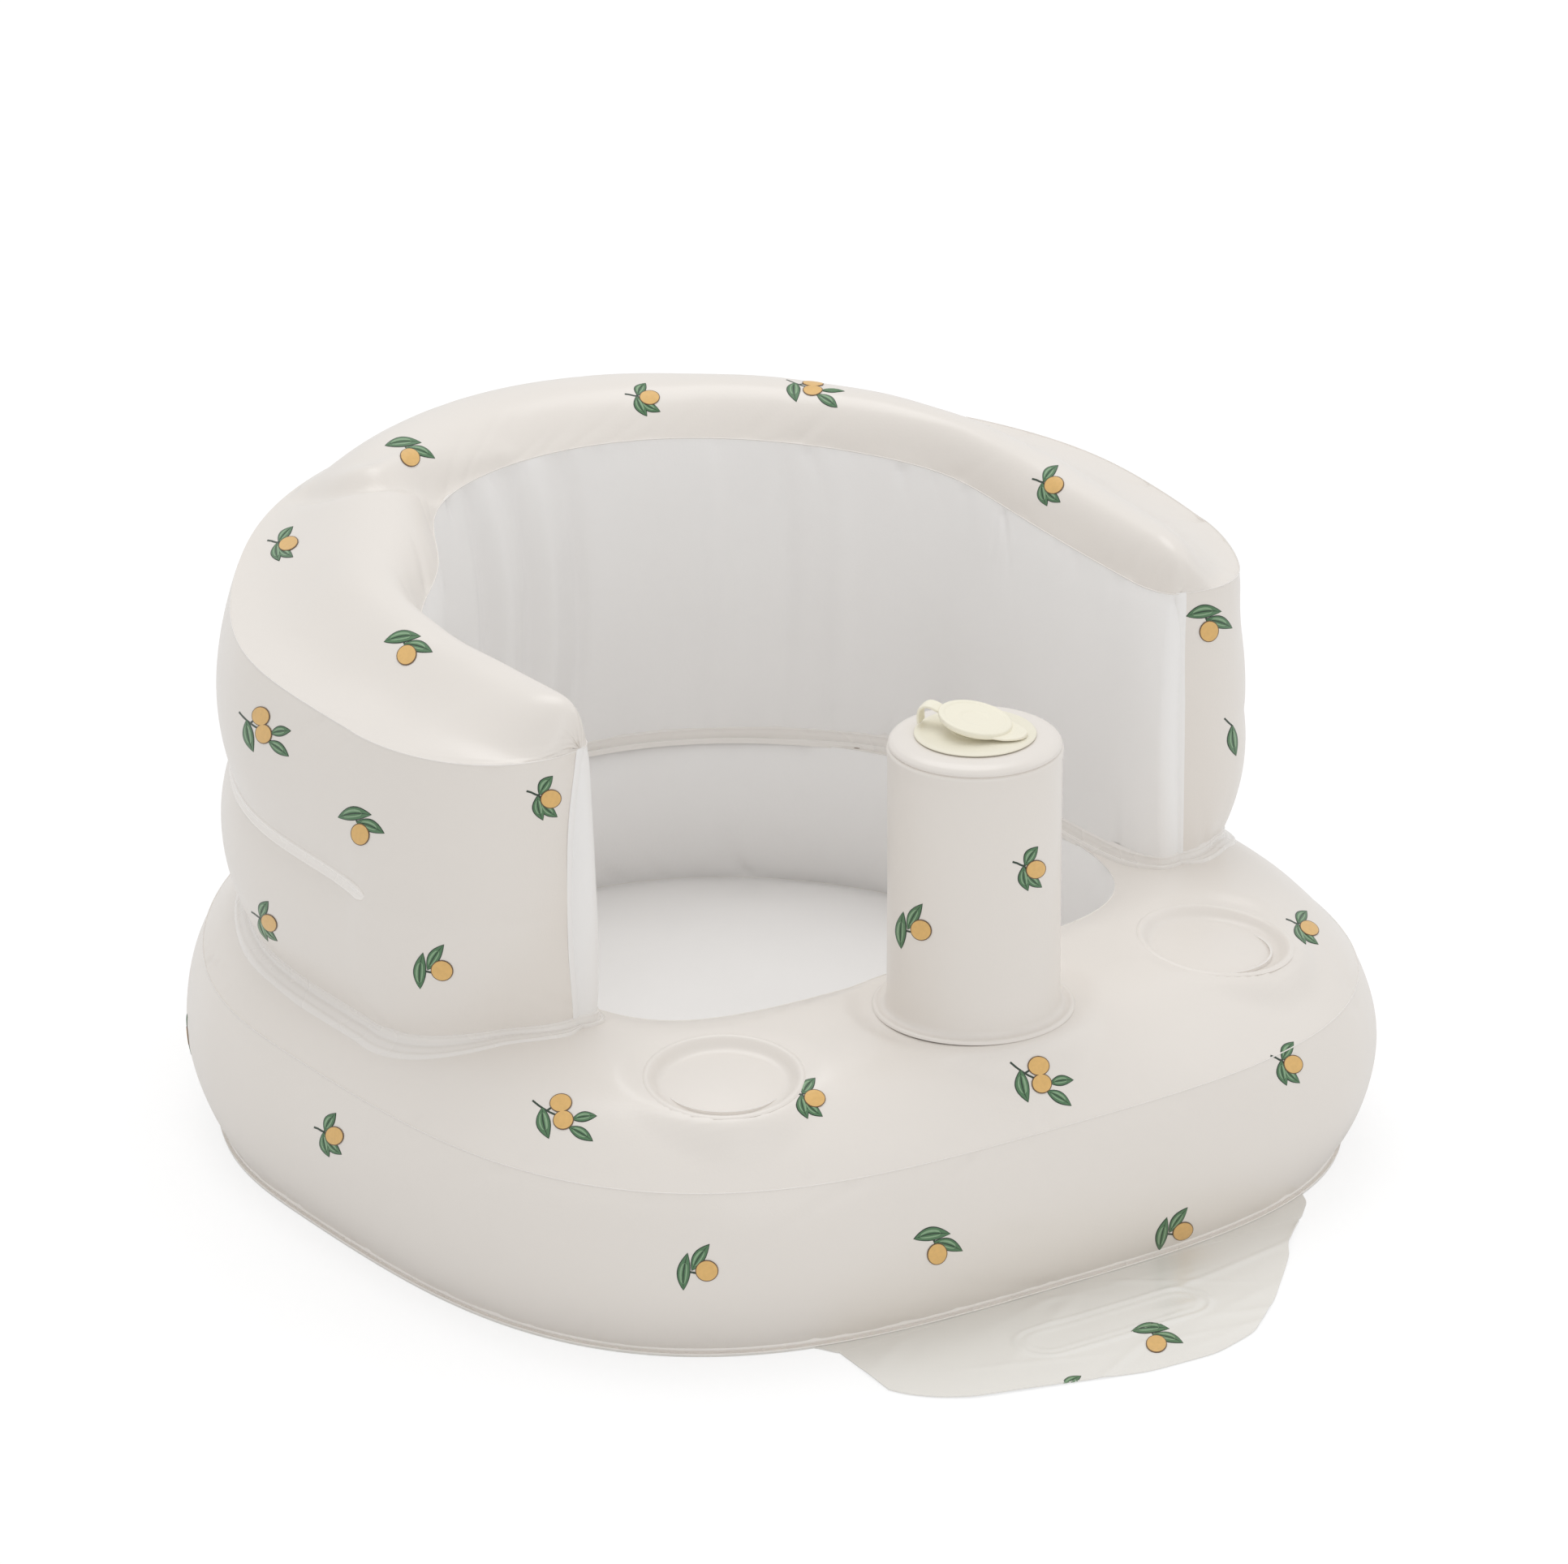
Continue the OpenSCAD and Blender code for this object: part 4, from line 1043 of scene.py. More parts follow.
class MakeWeldStrips(PieceOperator):
    """Makes the flat welded strips: round the backrest's foot, in its crease and round the base's rim"""

    bl_idname = "floor_seat.weld_strips"
    bl_label = "Weld strips"

    # shares of the wall's height at which the foot's and the rim's strip start, and the rim's wall ends
    foot_start, rim_start, rim_end = 0.034, 0.045, 0.008
    # how deep a strip starts inside the film, and how far it then comes out of it, over which share
    sunk, foot_stand, rim_stand = 0.8, (1.6, 0.3), (1.5, 0.018)
    # the foot's strip: the outer wall's share for each of the inner wall's, flare at its corner, lift
    outer_share, foot_flare, foot_lift = 1.9, (0.9, 0.02), 0.4
    # its flat part: distance from the wall, depth of its underside, height, and share of its turned edge
    flat_start, flat_sunk, flat_h, flat_edge = 1.8, 1.0, 2.0, 0.16
    # its ridges: height, place and width as shares; and columns over which it widens beside a front weld
    foot_ridges, widen_cols = ((0.25, 0.3, 0.16), (0.4, 0.75, 0.12)), 0.8
    # width of the foot's strip on the base, outside and on the seat side
    foot_w, seat_side_w = 6.5, 2.6
    # half width of the weld at the front of an arm, on the seat side and outside
    front_in, front_out = 2.2, 3.2
    # half height and thickness of the crease's strip, and how far it runs past the noses' last column
    crease_half_h, crease_t, crease_past = 3.9, 0.0009, 0.6
    # its stand in the middle, which doubles to its sides, height of its ridges, fall of its edge, sink
    crease_stand, crease_ridge_h, crease_fall, crease_sunk = 0.9, 0.7, 1.6, 0.2
    # place and width of its ridges and of its falling edge, as shares of its half height
    crease_ridge, crease_edge = (0.55, 0.26), (0.8, 0.2)
    # the rim's flat part: distance from the foot, width, height and rise
    rim_out, rim_w, rim_h, rim_rise = 1.1, 1.7, 0.45, 0.3
    # its ruffle: height and lengths, counted along a circle of about the base's size
    ruffle_h, ruffle_short, ruffle_middle, ruffle_long, ruffle_r = 0.06, 7.0, 31.0, 83.0, 250.0

    def make(self, scene):
        self.foot()
        self.front()
        self.crease()
        self.rim()

    def foot(self):
        """The strip starts up on the wall and ends flat on the base, with two soft ridges."""
        k = np.concatenate([fine_columns()[:-1], 2 * COLS - fine_columns(24, 120)[::-1][:-1]])[None, :]
        wall = shares(8, self.foot_start, 0.0)
        up = np.where(outside(k)[..., None], lower_tier(k, wall * self.outer_share), inner_wall(k, wall))
        out = up - moved(k, 0.0, up[..., 2])
        out = np.sum(out[..., :2] * on_outline(k, OUTLINE_N), -1)
        stand, share = self.foot_stand
        stand = -self.sunk + stand * smooth((1.0 - wall / self.foot_start) / share)
        flare, reach = self.foot_flare
        up = moved(k, out + (stand + flare * smooth(1.0 - wall / reach)), up[..., 2] + self.foot_lift)
        s = shares(21)[1:]
        widened = np.where(outside(k), smooth(from_end(k) / self.widen_cols), 0.0)
        width = mix(self.seat_side_w, self.foot_w, widened)
        flat = moved(k, foot_out(k) + self.flat_start + s * width, POST_FOOT_H)
        ridges = sum(height * gauss((s - at) / wide) for height, at, wide in self.foot_ridges)
        height = (self.flat_h + ridges) * smooth((1.0 - s) / self.flat_edge)
        flat[..., 2] = top_z(flat[..., 0], flat[..., 1]) - self.flat_sunk + height
        rows = np.concatenate([up, flat])[::-1]
        film_strip("backrest_foot_strip", rows, True, "weld", "backrest_foot_weld")

    def front(self):
        """The inner panel's edge lies smoothly over the upright weld at the front of each arm."""
        across = np.linspace(-self.front_in, self.front_out, 13)
        k = across / np.where(across < 0.0, 13.0, 2.1)
        out = 0.75 * (1.0 - (across / self.front_out) ** 2) - 0.25
        for side, columns, stand in (("left", COLS + k, out), ("right", -k[::-1], out[::-1])):
            height = mix(foot_z(columns, 0.0)[None, :], ARM_H + 0.6, shares(60))
            rows = moved(columns[None, :], stand[None, :], height)
            film_strip(f"front_weld_{side}", rows, False, "plain film", thickness=None)

    def crease(self):
        past = self.crease_past
        k = np.linspace(NOSE_COLS - past, COLS - NOSE_COLS + past, 330)[None, :]
        s = shares(17, -1.0, 1.0)
        ends = np.minimum(k - k.min(), k.max() - k) / past
        taper = np.sqrt(np.clip(ends * (2.0 - ends), 0.0, 1.0)) * (ends < 1.0) + (ends >= 1.0)
        (ridge_at, ridge_w), (edge_at, edge_w) = self.crease_ridge, self.crease_edge
        ridges = self.crease_ridge_h * gauss((np.abs(s) - ridge_at) / ridge_w)
        edge = self.crease_fall * smooth((np.abs(s) - edge_at) / edge_w)
        stand = (self.crease_stand + self.crease_stand * s * s + ridges - edge) * taper
        out = past_nose(k) * crease_out(k) + stand - self.crease_sunk
        rows = moved(k, out, CREASE_H + self.crease_half_h * s * taper)
        # The crease's strip takes the lighter weld colour: a painted highlight.
        film_strip("crease_weld_strip", rows, False, "light weld", "backrest_crease_weld",
                   thickness=self.crease_t)

    def rim(self):
        """The rim starts a little way up the side band, so that no gap opens at its foot."""
        turn = around(720)[None, :]
        v = shares(7, self.rim_start, self.rim_end)
        stand, share = self.rim_stand
        wall = side_band(turn, v, -self.sunk + stand * smooth((self.rim_start - v) / share))
        s = shares(7)
        along = turn * self.ruffle_r
        ripple = np.sin(along / self.ruffle_short + 2.0 * np.sin(along / self.ruffle_middle))
        ruffle = self.ruffle_h * ripple * np.sin(along / self.ruffle_long) ** 2
        height = FILM + self.rim_h + (self.rim_rise + ruffle) * s * s
        flat = at_turn(turn, base_r(turn, self.rim_out + s * self.rim_w), height)
        rows = np.concatenate([wall, flat])[::-1]
        # The rim's strip takes the lighter weld colour: a painted highlight.
        film_strip("base_rim_strip", rows, True, "light weld", "base_rim_weld")


class MakeSeamBeads(PieceOperator):
    """Makes the thin beads of film along the seams between two panels"""

    bl_idname = "floor_seat.seam_beads"
    bl_label = "Seam beads"

    bead_r = 0.00032
    # the outer top seam shows on the arms only, up to this column
    arm_end = 14.0

    def make(self, scene):
        turn = around(480)
        k = fine_columns()
        lines = [
            (at_turn(turn, base_r(turn, BAND_LEAN), BAND_H), True),
            (on_top(turn, well_r(turn)), True),
            (at_turn(turn, well_r(turn), SEAT_EDGE_H), True),
            (weld_line(k[k < self.arm_end]), False),
            (weld_line(k[k > COLS - self.arm_end]), False),
            (weld_line(2 * COLS - k), False),
        ]
        obj = with_tree(edge_lines("seam_beads", lines), seam_bead_tree(), Radius=self.bead_r, Sides=8,
                        Material=bpy.data.materials["weld"])
        dressed(obj, "weld", "seat")


def press_down(obj):
    """Gives a piece of the post a mesh of its own."""
    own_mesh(obj)


class MakePumpPost(PieceOperator):
    """Makes the film tube, the round top and the foam core of the pump post"""

    bl_idname = "floor_seat.pump_post"
    bl_label = "Pump post"

    # profiles of (radius, height): the tube's foot is given from its own height up
    tube_foot = (
        (45.6, 0.0), (45.2, 0.9), (44.0, 1.5), (42.8, 1.1), (41.2, 1.0), (40.0, 1.7), (39.3, 3.4),
        (39.0, 8.0), (38.8, 60.0),
    )
    tube_head = ((39.0, 234.0), (39.4, 238.6), (39.5, 240.2), (39.1, 241.1), (38.2, POST_WELD_H))
    top = (
        (38.2, POST_WELD_H), (38.9, 242.2), (38.7, 243.4), (37.4, 244.8), (34.5, 246.0), (30.0, 246.55),
        (12.0, 246.6), (9.5, 246.6),
    )
    foam_in, foam_out = 12.0, 31.0

    def make(self, scene):
        tube = [*[(r, TUBE_FOOT_H + z) for r, z in self.tube_foot], *self.tube_head]
        obj = thickened(lathe("pump_tube_film", rounded(tube, 1.2), count=192, middle=POST))
        press_down(dressed(obj, "printed film", "seat", "pump_tube"))
        obj = thickened(lathe("pump_top_film", rounded(self.top, 1.5, cuts=4), count=192, middle=POST))
        dressed(obj, "printed film", "pump_head", "pump_top")
        low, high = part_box("pump_foam_core")
        z0, z1 = low.z / MM, high.z / MM
        a, b = self.foam_in, self.foam_out
        core = rounded([(a, z0), (b, z0), (b, z1), (a, z1), (a, z0)], 1.0)
        obj = lathe("foam_core", core, count=96, middle=POST)
        press_down(dressed(obj, "open foam", "seat", "pump_foam_core"))


PlugSizes = namedtuple("PlugSizes", "flange_r bore_r cap_r lift tab_reach strap_w")


class MakePlugValves(PieceOperator):
    """Makes the soft flanges and plug caps of the pump inlet and of the air release"""

    bl_idname = "floor_seat.plug_valves"
    bl_label = "Plug valves"

    inlet = PlugSizes(flange_r=27.5, bore_r=7.6, cap_r=16.5, lift=3.4, tab_reach=24.0, strap_w=8.0)
    release = PlugSizes(flange_r=15.0, bore_r=5.0, cap_r=9.0, lift=1.6, tab_reach=13.0, strap_w=6.0)
    inlet_h, inlet_turn = 246.9, np.radians(-54.0)
    flange_t, neck_wall, neck_len, cap_t, strap_t, tab_t = 1.5, 1.6, 9.0, 2.7, 1.6, 1.5
    plug_gap, plug_len, round_r = 0.6, 2.7, 0.5
    # share of the cap's lift that its leaning disc gives up at the edge, and where the strap meets it
    lean, strap_in = 0.93, 1.2
    grip_bars, grip_h, grip_w = (0.62, 0.72, 0.82), 0.3, 0.035

    def make(self, scene):
        turn = Matrix.Rotation(self.inlet_turn, 4, "Z")
        place = Matrix.Translation(Vector((*POST, self.inlet_h)) * MM) @ turn
        self.valve("pump_inlet", self.inlet, place, "pump_head", "pump_cap", scene.seat_valves)
        low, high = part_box("air_release_valve")
        place = Matrix.Translation((0.0, high.y - self.flange_t * MM, (low.z + high.z) / 2.0))
        turn = Matrix.Rotation(-np.pi / 2, 4, "X") @ Matrix.Rotation(np.pi / 2, 4, "Z")
        self.valve("air_release", self.release, place @ turn, "seat", "release_cap", scene.seat_valves)

    def valve(self, name, sizes, place, body, cap_body, looks):
        flange = self.flange(f"{name}_flange", sizes)
        flange.data.transform(place)
        # The flange's darker colour is painted shade under the cap.
        dressed(flange, "valve flange", body, f"{name}_valve")
        cap = self.cap(f"{name}_plug_cap", sizes, looks)
        cap.data.transform(place)
        dressed(cap, "soft valve", cap_body, f"{name}_cap")

    def flange(self, name, sizes):
        r, bore_r, t, neck_len = sizes.flange_r, sizes.bore_r, self.flange_t, self.neck_len
        neck_r = bore_r + self.neck_wall
        profile = [
            (bore_r, -neck_len), (neck_r, -neck_len), (neck_r, -0.2), (r - 1.0, -0.1), (r, 0.3),
            (r - 0.6, 0.9), (r - 3.0, t * 0.8), (bore_r + 3.4, t), (bore_r + 2.6, t + 0.5),
            (bore_r + 0.6, t + 0.5), (bore_r, t), (bore_r, -neck_len),
        ]
        return lathe(name, rounded(profile, self.round_r), count=128)

    def cap(self, name, sizes, looks):
        r, plug_r, under = sizes.cap_r, sizes.bore_r - self.plug_gap, self.flange_t + sizes.lift
        top, rim = under + self.cap_t, looks.rim_height / MM
        profile = [
            (0.0, -self.plug_len), (plug_r * 0.8, -self.plug_len), (plug_r, 0.5), (plug_r, under),
            (r - 0.8, under), (r, under + 0.8), (r - 0.1, top + rim - 0.4), (r - 1.1, top + rim),
            (r - 2.4, top + rim - 0.2), (r - 3.0, top), (plug_r, top), (plug_r - 1.2, top - 0.4),
            (0.0, top - 0.4),
        ]
        disc = lathe(name, rounded(profile, self.round_r), count=128)
        self.join(disc, self.tab(sizes, under, looks.tab_droop / MM))
        for vertex in disc.data.vertices:
            x, z = vertex.co.x / MM, vertex.co.z / MM
            above = float(smooth((z - self.flange_t) / sizes.lift))
            vertex.co.z -= above * self.tilt(sizes) * min(x, r) * MM
        self.join(disc, self.strap(sizes, under))
        return disc

    def tilt(self, sizes):
        """The disc leans on its stem until the side with the tab rests on the flange."""
        return self.lean * sizes.lift / sizes.cap_r

    def tab(self, sizes, under, droop):
        """Tongue from the cap's edge: rows run outwards, with three low grip bars across it."""
        s = np.linspace(0.0, 1.0, 41)
        x = mix(sizes.cap_r * 0.62, sizes.tab_reach, s)
        end_r = sizes.cap_r * 0.45
        half = mix(sizes.cap_r * 0.72, end_r, smooth(s * 1.1))
        past = np.clip((x - (sizes.tab_reach - end_r)) / end_r, 0.0, 1.0)
        half = half * np.sqrt(np.clip(1.0 - past**2.6, 1e-4, 1.0))
        z = under + 1.1 - droop * smooth((s - 0.3) / 0.7) * (sizes.lift / self.inlet.lift)
        bars = self.grip_h * np.sum([gauss((s - c) / self.grip_w) for c in self.grip_bars], axis=0)
        return self.bar(x, z, half, self.tab_t / 2.0, bars)

    def strap(self, sizes, under):
        """Band that arches from its foot on the flange over to the cap's edge."""
        meet = sizes.cap_r - self.strap_in
        foot = np.array([-(sizes.flange_r - 1.9), self.flange_t + SEAT_GAP + 0.8])
        end = np.array([-sizes.cap_r + self.strap_in, under + 1.3 + self.tilt(sizes) * meet])
        gap = end[0] - foot[0]
        top = end[1] + 0.2 * gap
        x_shares = (0.0, -0.03, 0.03, 0.28, 0.6, 0.83, 1.0)
        heights = (foot[1], mix(foot[1], top, 0.4), mix(foot[1], top, 0.78), top, mix(end[1], top, 0.85),
                   mix(end[1], top, 0.3), end[1])
        points = [(foot[0] + share * gap, height) for share, height in zip(x_shares, heights, strict=True)]
        x, z = soft_line(points, count=61, passes=20).T
        return self.bar(x, z, np.full_like(x, sizes.strap_w / 2.0), self.strap_t / 2.0, np.zeros_like(x))

    def bar(self, x, z, half, half_t, extra):
        """A band along (x, z) with a rounded section; extra raises its upper side."""
        path = np.stack([x, z], -1)
        d = np.gradient(path, axis=0)
        d /= np.linalg.norm(d, axis=1, keepdims=True)
        up = np.stack([-d[:, 1], d[:, 0]], -1)
        section = np.linspace(0.0, 2.0 * np.pi, 32, endpoint=False)
        c, s = np.cos(section), np.sin(section)
        wide = np.sign(c) * np.abs(c) ** 0.35
        high = np.sign(s) * np.abs(s) ** 0.6
        raised = np.where(high > 0, np.minimum(1.0, 1.6 * (1.0 - np.abs(wide))), 0.0)
        rings = []
        for i in range(len(x)):
            h = half_t * high + extra[i] * raised
            p = path[i][None, :] + up[i][None, :] * h[:, None]
            rings.append(np.stack([p[:, 0], half[i] * wide, p[:, 1]], -1))
        return [rings[0].mean(0, keepdims=True), *rings, rings[-1].mean(0, keepdims=True)]

    def join(self, obj, lines):
        """Adds a surface between the lines to obj's mesh."""
        part = surface("part", lines, ring=True)
        with edited(obj.data) as mesh:
            mesh.from_mesh(part.data)
            bmesh.ops.recalc_face_normals(mesh, faces=mesh.faces)
        bpy.data.meshes.remove(part.data)
        obj.data.shade_smooth()


class MakeFrontFlap(PieceOperator):
    """Makes the film flap on the floor in front, with its oval weld"""

    bl_idname = "floor_seat.front_flap"
    bl_label = "Front flap"

    hinge = np.array(((-118.0, -255.3), (134.0, -255.3)))
    edge = (
        (-121.0, -298.0), (-118.0, -305.0), (-108.0, -316.0), (-94.0, -325.0), (-46.0, -338.0),
        (-15.0, -347.0), (21.0, -348.5), (47.0, -340.5), (74.0, -318.5), (98.0, -294.0), (108.5, -283.0),
        (111.0, -277.0), (128.6, -261.0),
    )
    flap_h = 0.9
    oval_l, oval_w, oval_y, oval_h = 50.0, 14.0, -298.0, 0.9
    wrinkle_count, wrinkle_h, wave_h, long_fold_h = 16, 0.7, 0.8, 0.7
    # ranges of a wrinkle's place, height, length and width, and the mean and spread of its turn
    wrinkle_x, wrinkle_y, wrinkle_turn = (-100.0, 100.0), (-335.0, -262.0), (0.15, 0.45)
    wrinkle_size, wrinkle_len, wrinkle_w = (0.2, 0.9), (18.0, 45.0), (2.0, 4.5)

    def make(self, scene):
        u = np.linspace(-1.0, 1.0, 181)[None, :]
        v = shares(70)
        share = (0.5 + 0.5 * u[0])[:, None]
        hinge, edge = mix(*self.hinge, share), soft_line(self.edge, count=181, passes=14)
        rows = mix(hinge[None], edge[None], v[..., None])
        x, y = rows[..., 0], rows[..., 1]
        z = self.flap_h + self.wrinkles(x, y, v, u) + self.oval(x, y)
        rows = np.stack([x, y, z], -1)[::-1]
        film_strip("front_flap_film", rows, False, "flap film", "front_flap", body="flap")

    def wrinkles(self, x, y, v, u):
        """Seeded short wrinkles, a long fold beside the base and waves that grow to the flap's edge."""
        rng = np.random.default_rng(5)
        out = np.zeros_like(x)
        for _ in range(self.wrinkle_count):
            cx, cy = rng.uniform(*self.wrinkle_x), rng.uniform(*self.wrinkle_y)
            a = rng.normal(*self.wrinkle_turn)
            s = (x - cx) * np.cos(a) + (y - cy) * np.sin(a)
            t = -(x - cx) * np.sin(a) + (y - cy) * np.cos(a)
            size = rng.uniform(*self.wrinkle_size) * gauss(s / rng.uniform(*self.wrinkle_len))
            out += size * gauss(t / rng.uniform(*self.wrinkle_w))
        wave = self.wave_h * (1.0 + np.sin(x / 17.0 + np.sin(y / 23.0))) * v**2
        across = (y + 281.0 - 0.06 * (x - 60.0) + 3.0 * np.sin(x / 26.0)) / 2.4
        long_fold = self.long_fold_h * gauss(across) * smooth((x - 10.0) / 40.0)
        return (self.wrinkle_h * out + long_fold + wave * np.abs(u) ** 2) * smooth(v / 0.12)

    def oval(self, x, y):
        """Two soft ridges round a long oval."""
        dx = np.maximum(np.abs(x) - (self.oval_l - self.oval_w), 0.0)
        r = np.hypot(dx, y - self.oval_y) - self.oval_w
        return self.oval_h * gauss(r / 1.5) + 0.5 * gauss((r + 5.0) / 1.5)


# Sprigs seen from the front: place in the picture, kind of motif
SEEN = (
    (505, 557, 0), (622, 582, 1), (350, 670, 1), (502, 800, 0), (325, 905, 3), (672, 983, 1), (444, 1020, 0),
    (327, 1135, 1), (534, 1190, 2), (407, 1398, 1), (694, 1381, 3), (997, 1352, 1), (1283, 1336, 3),
    (1587, 1310, 1), (1607, 1142, 1), (1440, 1125, 2), (1270, 1070, 1), (1125, 1140, 2), (860, 1560, 2),
    (1155, 1537, 0), (1448, 1513, 2), (1425, 1650, 0), (1322, 1701, 5), (1293, 597, 1), (1387, 722, 2),
    (1490, 770, 0), (1520, 912, 4),
)
PICTURE = (1932.0, 1927.0)
FOCUS_PX = 14670.0
AIM = Vector((23.7, 0.0, 151.4)) * MM
AZIMUTH, ELEVATION, DISTANCE = np.radians(-33.9), np.radians(23.1), 5482.0 * MM


def camera_place():
    """Where the camera stands, and the way that its back faces."""
    level = np.cos(ELEVATION)
    back = Vector((np.sin(AZIMUTH) * level, -np.cos(AZIMUTH) * level, np.sin(ELEVATION)))
    return AIM + back * DISTANCE, back


def camera_ray(px, py):
    """The ray through a point of the picture: its start, its way and the picture's upward way."""
    eye, back = camera_place()
    right = Vector((np.cos(AZIMUTH), np.sin(AZIMUTH), 0.0))
    up = back.cross(right)
    way = -back + right * ((px - PICTURE[0] / 2) / FOCUS_PX) - up * ((py - PICTURE[1] / 2) / FOCUS_PX)
    return eye, way.normalized(), up


class MakeSprigPrint(PieceOperator):
    """Prints sprigs of leaves and round fruit on the film"""

    bl_idname = "floor_seat.sprig_print"
    bl_label = "Sprig print"

    # Each motif in mm round its middle: leaves (from x, y, to x, y, width, arch), fruit (x, y, radii), stems
    motifs = (
        {"leaves": ((-10.9, 4.3, 5.5, 6.0, 5.6, 1.3), (-1.7, 2.6, 11.5, -2.0, 5.0, 0.9)),
         "fruit": ((-0.1, -2.9, 4.3, 4.6),), "stems": (((-1.9, 3.6), (-1.2, 2.2), (-0.8, 1.0)),)},
        {"leaves": ((-2.8, 1.6, 2.9, 9.5, 4.9, 0.7), (-3.5, 0.9, -0.9, -9.8, 4.7, -1.0),
                    (-2.4, -1.6, 5.6, -8.6, 4.3, -0.6)),
         "fruit": ((2.4, -0.5, 4.5, 3.9),),
         "stems": (((-8.7, 3.2), (-6.6, 2.6), (-4.6, 1.6), (-2.6, 1.0)),
                   ((-3.6, 1.6), (-2.8, 0.6), (-2.0, -0.2)))},
        {"leaves": ((-6.4, -10.6, -4.6, 5.6, 5.2, 0.8), (-2.6, -1.8, 4.9, 9.6, 4.8, 0.7)),
         "fruit": ((3.9, -2.0, 4.7, 4.4),), "stems": (((-4.4, -2.6), (-2.6, -2.8), (-0.6, -3.2)),)},
        {"leaves": ((-9.5, 6.3, -6.3, -7.7, 5.8, -1.0), (4.2, 0.6, 14.7, 1.9, 4.1, 0.5),
                    (2.7, -3.0, 13.3, -9.4, 4.5, 0.4)),
         "fruit": ((-1.3, 8.2, 4.7, 4.0), (0.1, 0.3, 4.3, 4.1)),
         "stems": (((-14.2, 9.8), (-11.6, 7.6), (-9.2, 5.9), (-6.0, 4.0), (-3.4, 2.8)),
                   ((-7.4, 5.0), (-5.2, 6.4)))},
        {"leaves": ((-1.3, 6.9, 1.9, -7.1, 5.6, -1.0),), "fruit": (),
         "stems": (((-6.0, 10.4), (-3.4, 8.2), (-1.0, 6.5)),)},
        {"leaves": ((-4.6, -4.0, 3.4, 2.4, 4.4, 0.6),), "fruit": (),
         "stems": (((-5.4, -4.8), (-4.9, -4.3), (-4.4, -3.8)),)},
    )
    # Each layer of ink: name, its material, how high it lies on the film
    layers = (
        ("outline", "leaf line print", 0.00010), ("leaf", "leaf print", 0.00021),
        ("light", "leaf light print", 0.0003), ("rind", "fruit line print", 0.00036),
        ("fruit", "fruit print", 0.00046),
    )
    # The films that take each set of sprigs, and those that only hide others
    films = {
        "seat": ("base_side_film", "base_top_film", "backrest_outer_film", "backrest_top_film"),
        "tube": ("pump_tube_film",), "flap": ("front_flap_film",),
        "plain": ("backrest_inner_film", "seat_film", "well_wall_film"),
    }
    line_w, stem_w, ink_t = 0.40, 2.2 * 0.40, 0.00025
    # shares of a leaf's half width that its two halves and its pale streaks cover, and the streaks' ends
    halves, streaks, streak_ends = ((-0.98, -0.1), (0.1, 0.98)), ((-0.62, -0.36), (0.3, 0.68)), (0.16, 0.74)
    # how far outside the film the rays start that lay a sprig on it, in front and on the far side
    front_reach, far_reach = 0.03, 0.014
    tries, valve_clearance = 1500, 0.045
    # how squarely a try must meet the film, how squarely the camera sees it, and the start of its ray back
    square_hit, square_seen, ray_gap = 0.45, 0.05, 0.002
    # ranges of height and of distance from the middle in which tries are made; above arm_top from above
    try_z, try_r, arm_top = (0.022, 0.33), (0.14, 0.27), 0.25
    # where those rays start: this far from the middle, or this high
    ray_r, ray_h = 0.5, 0.4
    # how often each of the first four motifs is drawn, and where the person hides the film
    kind_shares, sitter_x, sitter_y, sitter_z = (0.3, 0.35, 0.2, 0.15), (-0.09, 0.16), 0.06, 0.24

    def make(self, scene):
        looks = scene.seat_print
        skins = {name: self.skin(f"{name}_skin", films) for name, films in self.films.items()}
        graph = bpy.context.evaluated_depsgraph_get()
        trees = {name: BVHTree.FromObject(skin, graph) for name, skin in skins.items()}
        spots = {"seat": [], "tube": [], "flap": []}
        taken = []
        for px, py, kind in SEEN:
            eye, way, up = camera_ray(px, py)
            hits = [(*trees[name].ray_cast(eye, way), name) for name in spots]
            hits = [hit for hit in hits if hit[0] is not None]
            if hits:
                place, normal, _, _, name = min(hits, key=lambda hit: hit[3])
                out = normal.lerp(-way, 0.85).normalized() * self.front_reach
                spots[name].append((place, out, up, kind))
                taken.append(place)
        self.far_side(looks, trees["seat"], trees["plain"], spots["seat"], taken)
        tree = sprig_tree(len(self.motifs))
        for layer, material, lift in self.layers:
            shapes = {f"Motif {k}": self.motif(layer, k) for k in range(len(self.motifs))}
            for name, places in spots.items():
                obj = self.points(f"{name}_{layer}_print", places)
                with_tree(obj, tree, Film=skins[name], Scale=looks.scale, Lift=lift,
                          Material=bpy.data.materials[material], **shapes)
                dressed(thickened(obj, self.ink_t), material, "flap" if name == "flap" else "seat")
                if name == "tube":
                    press_down(obj)
            for shape in shapes.values():
                bpy.data.objects.remove(shape)
        for skin in skins.values():
            bpy.data.objects.remove(skin)

    def skin(self, name, films):
        """One mesh of several films, for rays to hit."""
        obj = mesh_object(name, ())
        with edited(obj.data) as mesh:
            for film in films:
                mesh.from_mesh(bpy.data.objects[film].data)
        return obj

    def far_side(self, looks, skin, plain, spots, taken):
        """Sprigs where the picture doesn't show the film, spread evenly from a seeded list of tries."""
        rng = np.random.default_rng(looks.seed)
        eye, _ = camera_place()
        for _ in range(self.tries):
            start, way, up = self.inward_ray(rng)
            place, normal, _, _ = skin.ray_cast(start, way)
            if place is None or normal.dot(-way) < self.square_hit:
                continue
            if any((place - t).length < looks.spacing for t in taken) or self.near_valve(place):
                continue
            back = (eye - place).normalized()
            start = place + back * self.ray_gap
            seen = all(film.ray_cast(start, back)[0] is None for film in (skin, plain))
            if seen and normal.dot(back) > self.square_seen and not self.behind_sitter(place):
                continue
            kind = int(rng.choice([0, 1, 2, 3], p=self.kind_shares))
            spots.append((place, normal * self.far_reach, up, kind))
            taken.append(place)

